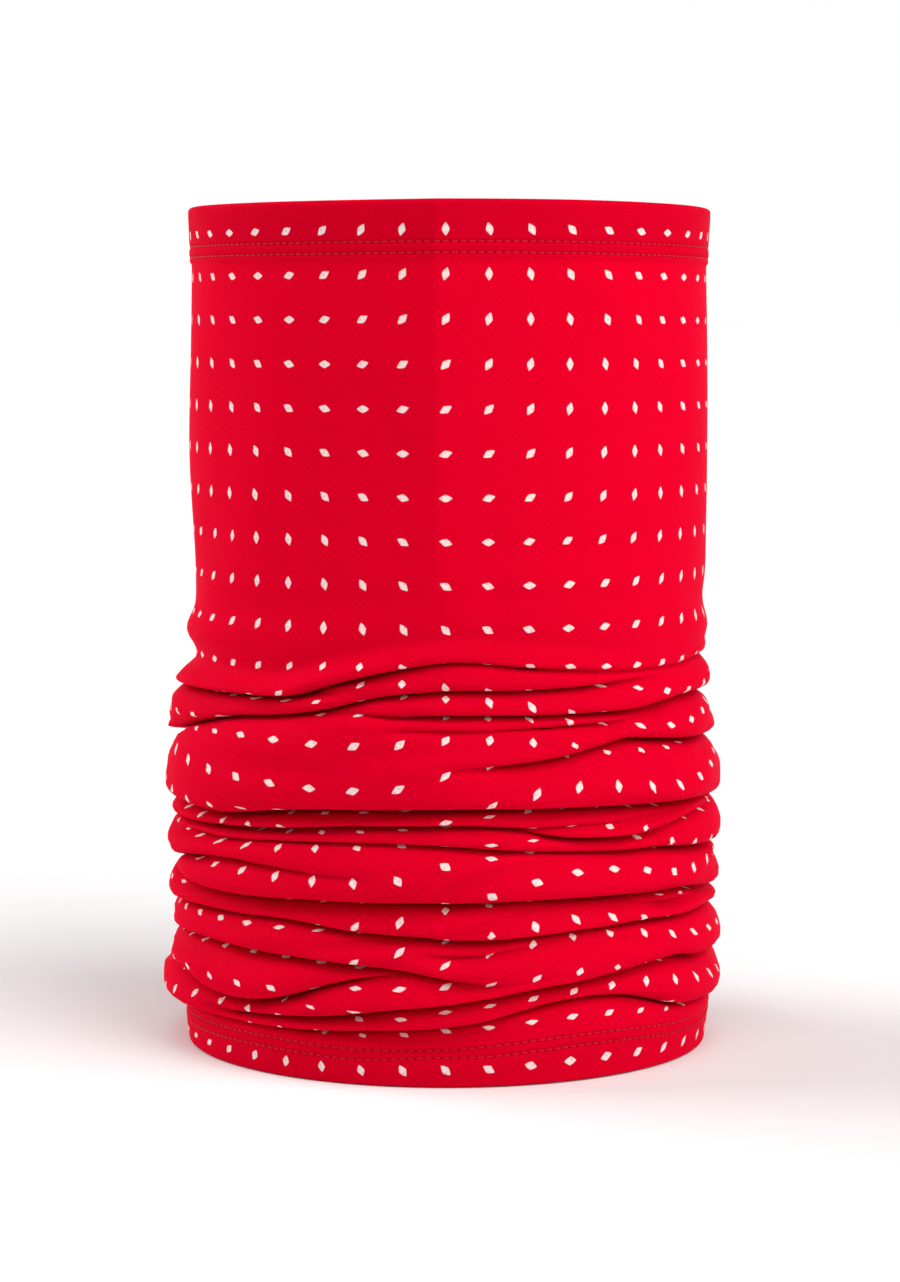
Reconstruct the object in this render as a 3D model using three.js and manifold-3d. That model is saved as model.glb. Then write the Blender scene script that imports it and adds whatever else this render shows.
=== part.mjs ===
// Neck gaiter: a long tube of stretch knit for skiing, smooth above and pushed down into ring folds
// below. One rectangular panel is rolled into a tube, its two edges butt at a flatlock seam down the
// back, and both ends are turned in and coverstitched. Millimetres, +Z up; the front faces -Y and the
// seam is at +Y. The origin is the centre of the bottom edge. The panel is parted where its gathers
// start and end, so that the upper half can be pulled up or let slouch on the standing lower hem.
import * as THREE from "three";
import { mergeVertices } from "three/addons/utils/BufferGeometryUtils.js";
import Module from "manifold-3d";

// The tube
const TUBE_RADIUS = 78.5; // outer face of the smooth wall
const UPPER_HEIGHT = 131; // from the top of the gathers to the top edge
const GATHERED_HEIGHT = 125; // from the bottom edge to the top of the gathers
const CLOTH = 0.8; // thickness of one ply of the knit

// The gathers
const FOLD_COUNT = 8;
const FOLD_DEPTH = 6; // how far a ring fold stands out of the smooth wall
const FOLD_DROOP = 3; // how far the crest of a fold hangs below its middle
const FOLD_STEPS = 4; // points along one fold
const PARTING = 1.6; // upright stretch of cloth on each side of where the panel is parted

// The turned hems
const PLY_GAP = 0.25; // between the two plies of a hem
const NEEDLE_GAUGE = 3.2; // between the two rows of a coverstitch
const TOP_EDGE_TO_ROW = 12; // from the top edge to the nearer row of stitches
const BOTTOM_EDGE_TO_ROW = 8.8; // from the bottom edge to the nearer row of stitches
const RAW_EDGE = 1; // how far the turned ply runs past the further row
const HEM_STEP = 1.5; // height over which a hem's outer ply steps back to the wall
const TURN_STEPS = 6; // facets over the turned top edge

// The sewing
const THREAD = 0.36; // thread diameter
const THREAD_SIDES = 5;
const CLEARANCE = 0.3; // between pieces that touch
const HEM_CROSSINGS = 36; // zigzags of a hem's looper thread, all round
const LOOPER_GAP = 1.6; // between the two ends of a hem's looper thread
const SEAM_GAP = 0.4; // between the butted edges of the panel
const SEAM_WIDTH = 4.8; // between the two needle rows of the flatlock seam
const SEAM_STITCH = 4; // height of half a zigzag of the seam's cover and looper threads
const SEAM_END = 1; // from the end of the seam's threads to the next piece

// The care label, a strip folded at its lower end and caught in the back seam at its upper one
const LABEL_WIDTH = 24;
const LABEL_LENGTH = 32;
const LABEL_PLY = 0.5;
const LABEL_BELOW_TOP = 40; // from the top edge to the label's upper end
const TACK_BELOW_END = 3; // from the label's upper end to the stitches that hold it
const TACK_MARGIN = 2.5; // from those stitches to the label's sides

// What follows from them
const SEGMENTS = 32; // facets round the tube
const FACET = Math.cos(Math.PI / SEGMENTS); // a facet's middle lies at this share of the radius
const TOTAL_HEIGHT = GATHERED_HEIGHT + UPPER_HEIGHT;
const WALL = TUBE_RADIUS - CLOTH / 2; // middle of the smooth wall
const HEM_OUTER = WALL + CLOTH; // middle of a hem's outer ply, pushed out by the turned one
const HEM_INNER = HEM_OUTER - CLOTH - PLY_GAP; // middle of a hem's turned ply
const ON_FACE = CLOTH / 2 + CLEARANCE + THREAD / 2; // from the middle of a ply to a thread on it
const TOP_ROWS = [TOTAL_HEIGHT - TOP_EDGE_TO_ROW, TOTAL_HEIGHT - TOP_EDGE_TO_ROW - NEEDLE_GAUGE];
const BOTTOM_ROWS = [BOTTOM_EDGE_TO_ROW, BOTTOM_EDGE_TO_ROW + NEEDLE_GAUGE];
const TOP_RAW_EDGE = TOP_ROWS[1] - RAW_EDGE;
const BOTTOM_RAW_EDGE = BOTTOM_ROWS[1] + RAW_EDGE;
const TOP_HEM_START = TOP_RAW_EDGE - PLY_GAP - CLOTH; // lowest height of the hem's full thickness
const BOTTOM_HEM_END = BOTTOM_RAW_EDGE + PLY_GAP + CLOTH;
const WALL_END = TOP_HEM_START - HEM_STEP;
const HEM_PARTING = BOTTOM_HEM_END + HEM_STEP + PARTING; // where the panel is parted above the lower hem
const FOLDS_START = HEM_PARTING + PARTING;
const FOLDS_END = GATHERED_HEIGHT - PARTING;
const FOLD_PITCH = (FOLDS_END - FOLDS_START) / FOLD_COUNT;
const SEAM_SAG = (SEAM_WIDTH / 2) * Math.tan(Math.PI / SEGMENTS); // a flat facet's fall beside the seam
const LABEL_TOP = TOTAL_HEIGHT - LABEL_BELOW_TOP;

const RED_KNIT = new THREE.MeshStandardMaterial({ color: 0xd6001f, roughness: 0.72, metalness: 0 });
const RED_THREAD = new THREE.MeshStandardMaterial({ color: 0xb0001a, roughness: 0.6, metalness: 0 });
const WHITE_SATIN = new THREE.MeshStandardMaterial({ color: 0xf2f0ec, roughness: 0.45, metalness: 0 });

const wasm = await Module();
wasm.setup();

const gaiter = new THREE.Group();
gaiter.name = "neck_gaiter";

function add(name, geometry, material) {
  const mesh = new THREE.Mesh(geometry, material);
  mesh.name = name;
  gaiter.add(mesh);
}

// A line in the (radius, height) plane moved to its right by a distance, with mitred corners.
function offsetLine(line, distance) {
  const last = line.length - 1;
  return line.map((point, i) => {
    const before = i > 0 ? point.clone().sub(line[i - 1]) : line[1].clone().sub(point);
    const after = i < last ? line[i + 1].clone().sub(point) : before.clone();
    const along = before.normalize().clone().add(after.normalize()).normalize();
    const reach = distance / along.dot(before);
    return new THREE.Vector2(point.x + along.y * reach, point.y - along.x * reach);
  });
}

// Turns a closed outline in the (radius, height) plane about +Z.
function turned(outline) {
  return new THREE.LatheGeometry(outline, SEGMENTS).rotateX(Math.PI / 2);
}

// A ring of cloth round a line that is the middle of the ply.
function clothRing(line) {
  const right = offsetLine(line, CLOTH / 2);
  const left = offsetLine(line, -CLOTH / 2).reverse();
  return turned([...right, ...left, right[0]]);
}

function solidOf(geometry) {
  const bare = geometry.clone();
  bare.deleteAttribute("normal");
  bare.deleteAttribute("uv");
  const merged = mergeVertices(bare, 1e-3);
  return new wasm.Manifold(new wasm.Mesh({
    numProp: 3,
    vertProperties: merged.getAttribute("position").array,
    triVerts: new Uint32Array(merged.index.array),
  }));
}

function geometryOf(solid) {
  const mesh = solid.getMesh();
  const geometry = new THREE.BufferGeometry();
  geometry.setAttribute("position", new THREE.BufferAttribute(mesh.vertProperties, 3));
  geometry.setIndex(new THREE.BufferAttribute(mesh.triVerts, 1));
  geometry.computeVertexNormals();
  return geometry;
}

// Parts a ring of cloth at the back, where the panel's two edges butt.
function partedAtSeam(ring) {
  const depth = 4 * (FOLD_DEPTH + CLOTH);
  const slot = new THREE.BoxGeometry(SEAM_GAP, depth, 3 * TOTAL_HEIGHT).translate(0, TUBE_RADIUS, 0);
  return geometryOf(solidOf(ring).subtract(solidOf(slot)));
}

// The half circle over which the cloth turns in at the top edge.
function topTurn() {
  const radius = (HEM_OUTER - HEM_INNER) / 2;
  const height = TOTAL_HEIGHT - radius - CLOTH / 2;
  return Array.from({ length: TURN_STEPS + 1 }, (_, i) => {
    const angle = (Math.PI * i) / TURN_STEPS;
    return new THREE.Vector2(
      HEM_INNER + radius + radius * Math.cos(angle),
      height + radius * Math.sin(angle),
    );
  });
}

// Up the smooth wall, out to the hem's outer ply, over the top edge and down the turned ply.
function upperLine() {
  return [
    new THREE.Vector2(WALL, GATHERED_HEIGHT + CLEARANCE / 2),
    new THREE.Vector2(WALL, WALL_END),
    new THREE.Vector2(HEM_OUTER, TOP_HEM_START),
    ...topTurn(),
    new THREE.Vector2(HEM_INNER, TOP_RAW_EDGE),
  ];
}

// A point of the gathers; the share runs from 0 at a fold's lower valley to 1 at its upper one.
function foldPoint(fold, share) {
  const stand = (1 - Math.cos(2 * Math.PI * share)) / 2;
  const height = FOLDS_START + FOLD_PITCH * (fold + share) - FOLD_DROOP * stand;
  return new THREE.Vector2(WALL + FOLD_DEPTH * stand, height);
}

// Up over the ring folds, from the bottom hem to the smooth wall.
function gatheredLine() {
  const points = [new THREE.Vector2(WALL, HEM_PARTING + CLEARANCE / 2), foldPoint(0, 0)];
  for (let fold = 0; fold < FOLD_COUNT; fold++) {
    for (let step = 1; step <= FOLD_STEPS; step++) {
      points.push(foldPoint(fold, step / FOLD_STEPS));
    }
  }
  points.push(new THREE.Vector2(WALL, GATHERED_HEIGHT - CLEARANCE / 2));
  return points;
}

// Down the turned ply, across the flat bottom edge, up the outer ply and in to the wall.
function bottomHemLine() {
  return [
    new THREE.Vector2(HEM_INNER, BOTTOM_RAW_EDGE),
    new THREE.Vector2(HEM_INNER, CLOTH / 2),
    new THREE.Vector2(HEM_OUTER, CLOTH / 2),
    new THREE.Vector2(HEM_OUTER, BOTTOM_HEM_END),
    new THREE.Vector2(WALL, BOTTOM_HEM_END + HEM_STEP),
    new THREE.Vector2(WALL, HEM_PARTING - CLEARANCE / 2),
  ];
}

function threadSection() {
  const corners = Array.from({ length: THREAD_SIDES }, (_, i) => {
    const angle = (2 * Math.PI * i) / THREAD_SIDES;
    return new THREE.Vector2(Math.cos(angle), Math.sin(angle)).multiplyScalar(THREAD / 2);
  });
  return new THREE.Shape(corners);
}

// A run of straight stretches that is stepped at its corners only.
class Polyline extends THREE.Curve {
  constructor(points) {
    super();
    this.points = points;
  }

  getPointAt(share) {
    return this.points[Math.round(share * (this.points.length - 1))].clone();
  }

  getTangentAt(share) {
    const i = Math.round(share * (this.points.length - 1));
    const from = this.points[Math.max(i - 1, 0)];
    const to = this.points[Math.min(i + 1, this.points.length - 1)];
    return to.clone().sub(from).normalize();
  }
}

function threadThrough(points) {
  return new THREE.ExtrudeGeometry(threadSection(), {
    steps: points.length - 1,
    extrudePath: new Polyline(points),
  });
}

// A row of needle thread round a hem, drawn as one closed ring on the outer face.
function needleRing(height) {
  const centre = new THREE.Vector2(HEM_OUTER + ON_FACE, height);
  const outline = threadSection().getPoints().map((corner) => corner.add(centre));
  return turned([...outline, outline[0]]);
}

// The looper thread on a hem's turned ply, zigzagging between the two rows from seam to seam.
function looperRing(rows) {
  const radius = HEM_INNER * FACET - ON_FACE;
  const start = Math.PI / 2 + LOOPER_GAP / 2 / radius;
  const sweep = 2 * Math.PI - LOOPER_GAP / radius;
  const crossings = 2 * HEM_CROSSINGS;
  return threadThrough(Array.from({ length: crossings + 1 }, (_, i) => {
    const angle = start + (sweep * i) / crossings;
    return new THREE.Vector3(radius * Math.cos(angle), radius * Math.sin(angle), rows[i % 2]);
  }));
}

// The four threads of a stretch of the flatlock seam, along a line up the middle of the cloth:
// two needle rows and the cover thread between them outside, and the looper thread inside.
function addSeam(stretch, line) {
  const outside = offsetLine(line, ON_FACE);
  const inside = offsetLine(line, -ON_FACE - SEAM_SAG);
  const row = SEAM_WIDTH / 2;
  const swing = row - THREAD - CLEARANCE;
  const zigzag = (points, reach) => points.map((p, i) => new THREE.Vector3(i % 2 ? reach : -reach, p.x, p.y));
  for (const [side, x] of [["left", -row], ["right", row]]) {
    const points = outside.map((p) => new THREE.Vector3(x, p.x, p.y));
    add(`${stretch}_seam_${side}_needle_thread`, threadThrough(points), RED_THREAD);
  }
  add(`${stretch}_seam_cover_thread`, threadThrough(zigzag(outside, swing)), RED_THREAD);
  add(`${stretch}_seam_looper_thread`, threadThrough(zigzag(inside, row)), RED_THREAD);
}

// Points up the smooth wall, one for each half zigzag of the seam.
function smoothSeamLine() {
  const low = GATHERED_HEIGHT + SEAM_END;
  const high = WALL_END - SEAM_END;
  const count = Math.round((high - low) / SEAM_STITCH);
  return Array.from({ length: count + 1 }, (_, i) => {
    return new THREE.Vector2(WALL, low + ((high - low) * i) / count);
  });
}

// The gathers' own points, without the upright stretches above and below them.
function gatheredSeamLine() {
  return gatheredLine().slice(1, -1);
}

// The farthest back that the flat label can hang, clear of the looper thread and of the round wall.
function labelBack() {
  const thread = WALL - ON_FACE - SEAM_SAG - THREAD / 2;
  const wall = Math.sqrt(((WALL - CLOTH / 2) * FACET) ** 2 - (LABEL_WIDTH / 2) ** 2);
  return Math.min(thread, wall) - CLEARANCE;
}

// The label's two plies and the fold that joins them.
function addLabel() {
  const back = labelBack();
  const front = back - 2 * LABEL_PLY - PLY_GAP;
  const low = LABEL_TOP - LABEL_LENGTH;
  const profile = new THREE.Shape([
    new THREE.Vector2(front, LABEL_TOP),
    new THREE.Vector2(front, low),
    new THREE.Vector2(back, low),
    new THREE.Vector2(back, LABEL_TOP),
    new THREE.Vector2(back - LABEL_PLY, LABEL_TOP),
    new THREE.Vector2(back - LABEL_PLY, low + LABEL_PLY),
    new THREE.Vector2(front + LABEL_PLY, low + LABEL_PLY),
    new THREE.Vector2(front + LABEL_PLY, LABEL_TOP),
  ]);
  const strip = new THREE.ExtrudeGeometry(profile, { depth: LABEL_WIDTH, bevelEnabled: false });
  strip.translate(0, 0, -LABEL_WIDTH / 2).applyMatrix4(AXES_YZX);
  add("care_label", strip, WHITE_SATIN);

  const reach = LABEL_WIDTH / 2 - TACK_MARGIN;
  const tackY = front - CLEARANCE - THREAD / 2;
  const tackZ = LABEL_TOP - TACK_BELOW_END;
  const ends = [-reach, reach].map((x) => new THREE.Vector3(x, tackY, tackZ));
  add("care_label_tack_thread", threadThrough(ends), RED_THREAD);
}

// Takes a profile drawn in x and y, extruded along z, to y and z, extruded along x.
const AXES_YZX = new THREE.Matrix4().makeBasis(
  new THREE.Vector3(0, 1, 0),
  new THREE.Vector3(0, 0, 1),
  new THREE.Vector3(1, 0, 0),
);

add("upper_panel", partedAtSeam(clothRing(upperLine())), RED_KNIT);
add("gathered_panel", partedAtSeam(clothRing(gatheredLine())), RED_KNIT);
add("bottom_hem", partedAtSeam(clothRing(bottomHemLine())), RED_KNIT);

for (const [hem, rows] of [["top", TOP_ROWS], ["bottom", BOTTOM_ROWS]]) {
  add(`${hem}_hem_edge_needle_thread`, needleRing(rows[0]), RED_THREAD);
  add(`${hem}_hem_inner_needle_thread`, needleRing(rows[1]), RED_THREAD);
  add(`${hem}_hem_looper_thread`, looperRing(rows), RED_THREAD);
}

addSeam("upper", smoothSeamLine());
addSeam("gathered", gatheredSeamLine());
addLabel();

export default gaiter;
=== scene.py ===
"""The looks of a gathered neck gaiter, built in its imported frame.

One knit panel is rolled into a tube, turned in and coverstitched at both ends, and pushed down into
drooping ring folds below its middle. Places are worked out in millimetres, in the frame of the
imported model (+Z up, front at -Y, back seam at +Y), and meshes are written in metres. An azimuth is
counted in degrees from the front towards +X.
"""
import logging
import math
from collections.abc import Callable, Sequence
from dataclasses import dataclass
from enum import Enum

import bpy
import numpy as np
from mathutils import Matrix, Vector


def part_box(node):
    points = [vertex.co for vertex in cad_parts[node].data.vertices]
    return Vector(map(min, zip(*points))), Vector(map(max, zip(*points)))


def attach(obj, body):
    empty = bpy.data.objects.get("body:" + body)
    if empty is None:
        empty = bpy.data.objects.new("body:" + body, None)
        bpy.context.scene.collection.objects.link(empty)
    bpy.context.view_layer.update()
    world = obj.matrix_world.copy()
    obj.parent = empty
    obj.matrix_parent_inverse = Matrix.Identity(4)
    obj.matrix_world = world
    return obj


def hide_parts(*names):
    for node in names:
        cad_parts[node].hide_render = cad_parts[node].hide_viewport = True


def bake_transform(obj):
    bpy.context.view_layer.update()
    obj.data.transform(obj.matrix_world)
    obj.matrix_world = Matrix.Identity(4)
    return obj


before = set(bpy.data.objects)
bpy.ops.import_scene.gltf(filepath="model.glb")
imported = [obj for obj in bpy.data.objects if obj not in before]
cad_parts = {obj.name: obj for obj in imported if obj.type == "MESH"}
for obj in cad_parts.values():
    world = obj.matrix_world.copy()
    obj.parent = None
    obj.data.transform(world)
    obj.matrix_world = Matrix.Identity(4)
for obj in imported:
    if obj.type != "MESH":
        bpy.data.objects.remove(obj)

LOG = logging.getLogger("neck_gaiter")
MM = 0.001
THREAD_MATERIAL = "red_sewing_thread"
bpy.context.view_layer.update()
LOWER, UPPER = "lower", "upper"


def top_of(node: str) -> float:
    """Height of a CAD node's highest point in millimetres.

    Args:
        node: The node's name.

    Returns:
        The height above the standing edge.
    """
    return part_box(node)[1].z / MM


def bottom_of(node: str) -> float:
    """Height of a CAD node's lowest point in millimetres.

    Args:
        node: The node's name.

    Returns:
        The height above the standing edge.
    """
    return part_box(node)[0].z / MM


def middle_of(node: str) -> float:
    """Height of the middle of a CAD node in millimetres.

    Args:
        node: The node's name.

    Returns:
        The height above the standing edge.
    """
    return (top_of(node) + bottom_of(node)) / 2


def ramp(x: np.ndarray, low: float, high: float) -> np.ndarray:
    """A smooth step from 0 at low to 1 at high; low may be the larger number.

    Args:
        x: Where to evaluate it.
        low: Where the step starts.
        high: Where the step ends.

    Returns:
        The step's value at each x.
    """
    t = np.clip((x - low) / (high - low), 0.0, 1.0)
    return t * t * (3 - 2 * t)


def smooth_through(x: np.ndarray, xs: np.ndarray, ys: np.ndarray) -> np.ndarray:
    """A smooth curve through points, by cubic Hermite pieces.

    Args:
        x: Where to evaluate it.
        xs: The points' places, rising.
        ys: The points' values.

    Returns:
        The curve's value at each x.
    """
    slope = np.gradient(ys, xs)
    i = np.clip(np.searchsorted(xs, x, side="right") - 1, 0, len(xs) - 2)
    width = xs[i + 1] - xs[i]
    t = np.clip((x - xs[i]) / width, 0.0, 1.0)
    start = (1 + 2 * t) * (1 - t) ** 2 * ys[i] + t * (1 - t) ** 2 * width * slope[i]
    end = t * t * (3 - 2 * t) * ys[i + 1] + t * t * (t - 1) * width * slope[i + 1]
    return start + end


def smoothed(row: np.ndarray, width: int = 9) -> np.ndarray:
    """The running mean of a row of numbers.

    Args:
        row: The numbers.
        width: How many of them are averaged.

    Returns:
        As many numbers as in the row.
    """
    return np.convolve(row, np.ones(width) / width, mode="same")


def read_rows(places: np.ndarray, table: np.ndarray) -> np.ndarray:
    """Reads each row of a table between its numbers.

    Args:
        places: For each row, where to read it, counted in its numbers.
        table: The rows.

    Returns:
        What stands at those places, with one row for each row of the table.
    """
    index = np.arange(table.shape[1], dtype=float)
    return np.stack([np.interp(place, index, row) for place, row in zip(places, table)])


def every(azimuths: np.ndarray, row: Sequence[float]) -> np.ndarray:
    """Repeats one row of numbers for every azimuth.

    Args:
        azimuths: The azimuths.
        row: The numbers.

    Returns:
        As many equal rows as there are azimuths.
    """
    return np.tile(np.asarray(row, float), (len(azimuths), 1))


def running_sum(steps: np.ndarray) -> np.ndarray:
    """Sums that start from 0 and grow along each row.

    Args:
        steps: One row of steps for each line.

    Returns:
        The sums, one more in each row than there are steps.
    """
    return np.concatenate([np.zeros((len(steps), 1)), np.cumsum(steps, axis=1)], axis=1)


def deselect_all() -> None:
    """Clears the selection, because an operator acts on all that is selected."""
    for other in bpy.context.selected_objects:
        other.select_set(False)


def activate(piece: bpy.types.Object) -> None:
    """Makes a piece the only selected and the active object.

    Args:
        piece: The object to select.
    """
    deselect_all()
    piece.select_set(True)
    bpy.context.view_layer.objects.active = piece


def apply_modifier(piece: bpy.types.Object, kind: str, **settings: object) -> None:
    """Adds a modifier to a piece, sets it up and applies it.

    Args:
        piece: The object to modify.
        kind: The modifier's type.
        settings: The modifier's properties and their values.
    """
    modifier = piece.modifiers.new(kind.title(), kind)
    for name, value in settings.items():
        setattr(modifier, name, value)
    activate(piece)
    bpy.ops.object.modifier_apply(modifier=modifier.name)


def new_piece(name: str, points: np.ndarray, faces: Sequence[Sequence[int]]) -> bpy.types.Object:
    """Makes a smooth-shaded mesh object from points in millimetres.

    Args:
        name: The piece's name.
        points: One row of x, y and z for each vertex.
        faces: The vertex numbers of each face.

    Returns:
        The new object, at the origin.
    """
    mesh = bpy.data.meshes.new(name)
    mesh.from_pydata((points * MM).tolist(), [], faces)
    mesh.shade_smooth()
    piece = bpy.data.objects.new(name, mesh)
    bpy.context.scene.collection.objects.link(piece)
    return piece


# ---------------------------------------------------------------------------------------------
# Finishes


@dataclass(frozen=True)
class Signal:
    """A shader socket that Python's operators work on.

    Attributes:
        graph: The graph that its node stands in.
        socket: The node's output.
    """

    graph: "Graph"
    socket: bpy.types.NodeSocket

    def __add__(self, other: "Number") -> "Signal":
        """The sum."""
        return self.graph.math("ADD", self, other)

    def __sub__(self, other: "Number") -> "Signal":
        """The difference."""
        return self.graph.math("SUBTRACT", self, other)

    def __rsub__(self, other: "Number") -> "Signal":
        """The difference the other way round."""
        return self.graph.math("SUBTRACT", other, self)

    def __mul__(self, other: "Number") -> "Signal":
        """The product."""
        return self.graph.math("MULTIPLY", self, other)

    def __truediv__(self, other: "Number") -> "Signal":
        """The quotient."""
        return self.graph.math("DIVIDE", self, other)

    def __pow__(self, other: "Number") -> "Signal":
        """The power."""
        return self.graph.math("POWER", self, other)

    __radd__ = __add__
    __rmul__ = __mul__


Number = Signal | float


class Graph:
    """The node tree of one material."""

    def __init__(self, name: str) -> None:
        """Starts a material with a shader and its output.

        Args:
            name: The material's name.
        """
        self.material = bpy.data.materials.new(name)
        self.material.use_nodes = True
        self.tree = self.material.node_tree
        self.tree.nodes.clear()
        self.shader = self.node("ShaderNodeBsdfPrincipled")
        output = self.node("ShaderNodeOutputMaterial")
        self.tree.links.new(self.shader.outputs["BSDF"], output.inputs["Surface"])

    def node(self, kind: str, settings: dict[str, object] | None = None,
             inputs: dict[str | int, object] | None = None) -> bpy.types.Node:
        """Adds a node, makes its settings and then fills its sockets.

        Args:
            kind: The node's type.
            settings: The node's properties and their values.
            inputs: Values or signals for the sockets, by their name or number.

        Returns:
            The new node.
        """
        node = self.tree.nodes.new(kind)
        for name, value in (settings or {}).items():
            setattr(node, name, value)
        for name, value in (inputs or {}).items():
            self.feed(node.inputs[name], value)
        return node

    def feed(self, socket: bpy.types.NodeSocket, value: object) -> None:
        """Links a signal to a socket, or sets the socket's own value.

        Args:
            socket: The socket.
            value: A signal or a value.
        """
        if isinstance(value, Signal):
            self.tree.links.new(value.socket, socket)
        else:
            socket.default_value = value

    def signal(self, node: bpy.types.Node, output: str | int = 0) -> Signal:
        """Wraps one output of a node."""
        return Signal(self, node.outputs[output])

    def math(self, operation: str, *values: Number) -> Signal:
        """Adds a Math node for values that change over the surface."""
        return self.signal(self.node("ShaderNodeMath", {"operation": operation}, dict(enumerate(values))))

    def step(self, value: Number, low: float, high: float) -> Signal:
        """A smooth step from 0 at low to 1 at high."""
        return self.signal(self.node("ShaderNodeMapRange", {"interpolation_type": "SMOOTHSTEP"},
                                     {"Value": value, "From Min": low, "From Max": high}))

    def blend(self, factor: Number, first: object, second: object) -> Signal:
        """Mixes two colours by a factor."""
        node = self.node("ShaderNodeMix", {"data_type": "RGBA"}, {0: factor, 6: first, 7: second})
        return self.signal(node, 2)

    def noise(self, vector: Signal, scale: float, detail: float = 2.0) -> Signal:
        """Smooth noise from 0 to 1."""
        return self.signal(self.node("ShaderNodeTexNoise", {},
                                     {"Vector": vector, "Scale": scale, "Detail": detail}))

    def bump(self, height: Signal, strength: float, distance: float) -> None:
        """Feeds a height to the shader's normal.

        Args:
            height: The height, from 0 to 1.
            strength: How strong it looks.
            distance: What a height of 1 comes to, in metres.
        """
        node = self.node("ShaderNodeBump", {}, {"Height": height, "Strength": strength,
                                                "Distance": distance})
        self.feed(self.shader.inputs["Normal"], self.signal(node))

    def finish(self, **sockets: object) -> bpy.types.Material:
        """Fills the shader's sockets.

        Args:
            sockets: Values or signals, by the socket's name with _ for each space.

        Returns:
            The finished material.
        """
        for name, value in sockets.items():
            self.feed(self.shader.inputs[name.replace("_", " ")], value)
        return self.material


def opaque(colour: tuple[float, float, float]) -> tuple[float, float, float, float]:
    """A colour with its alpha."""
    return (*colour, 1.0)


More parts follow.
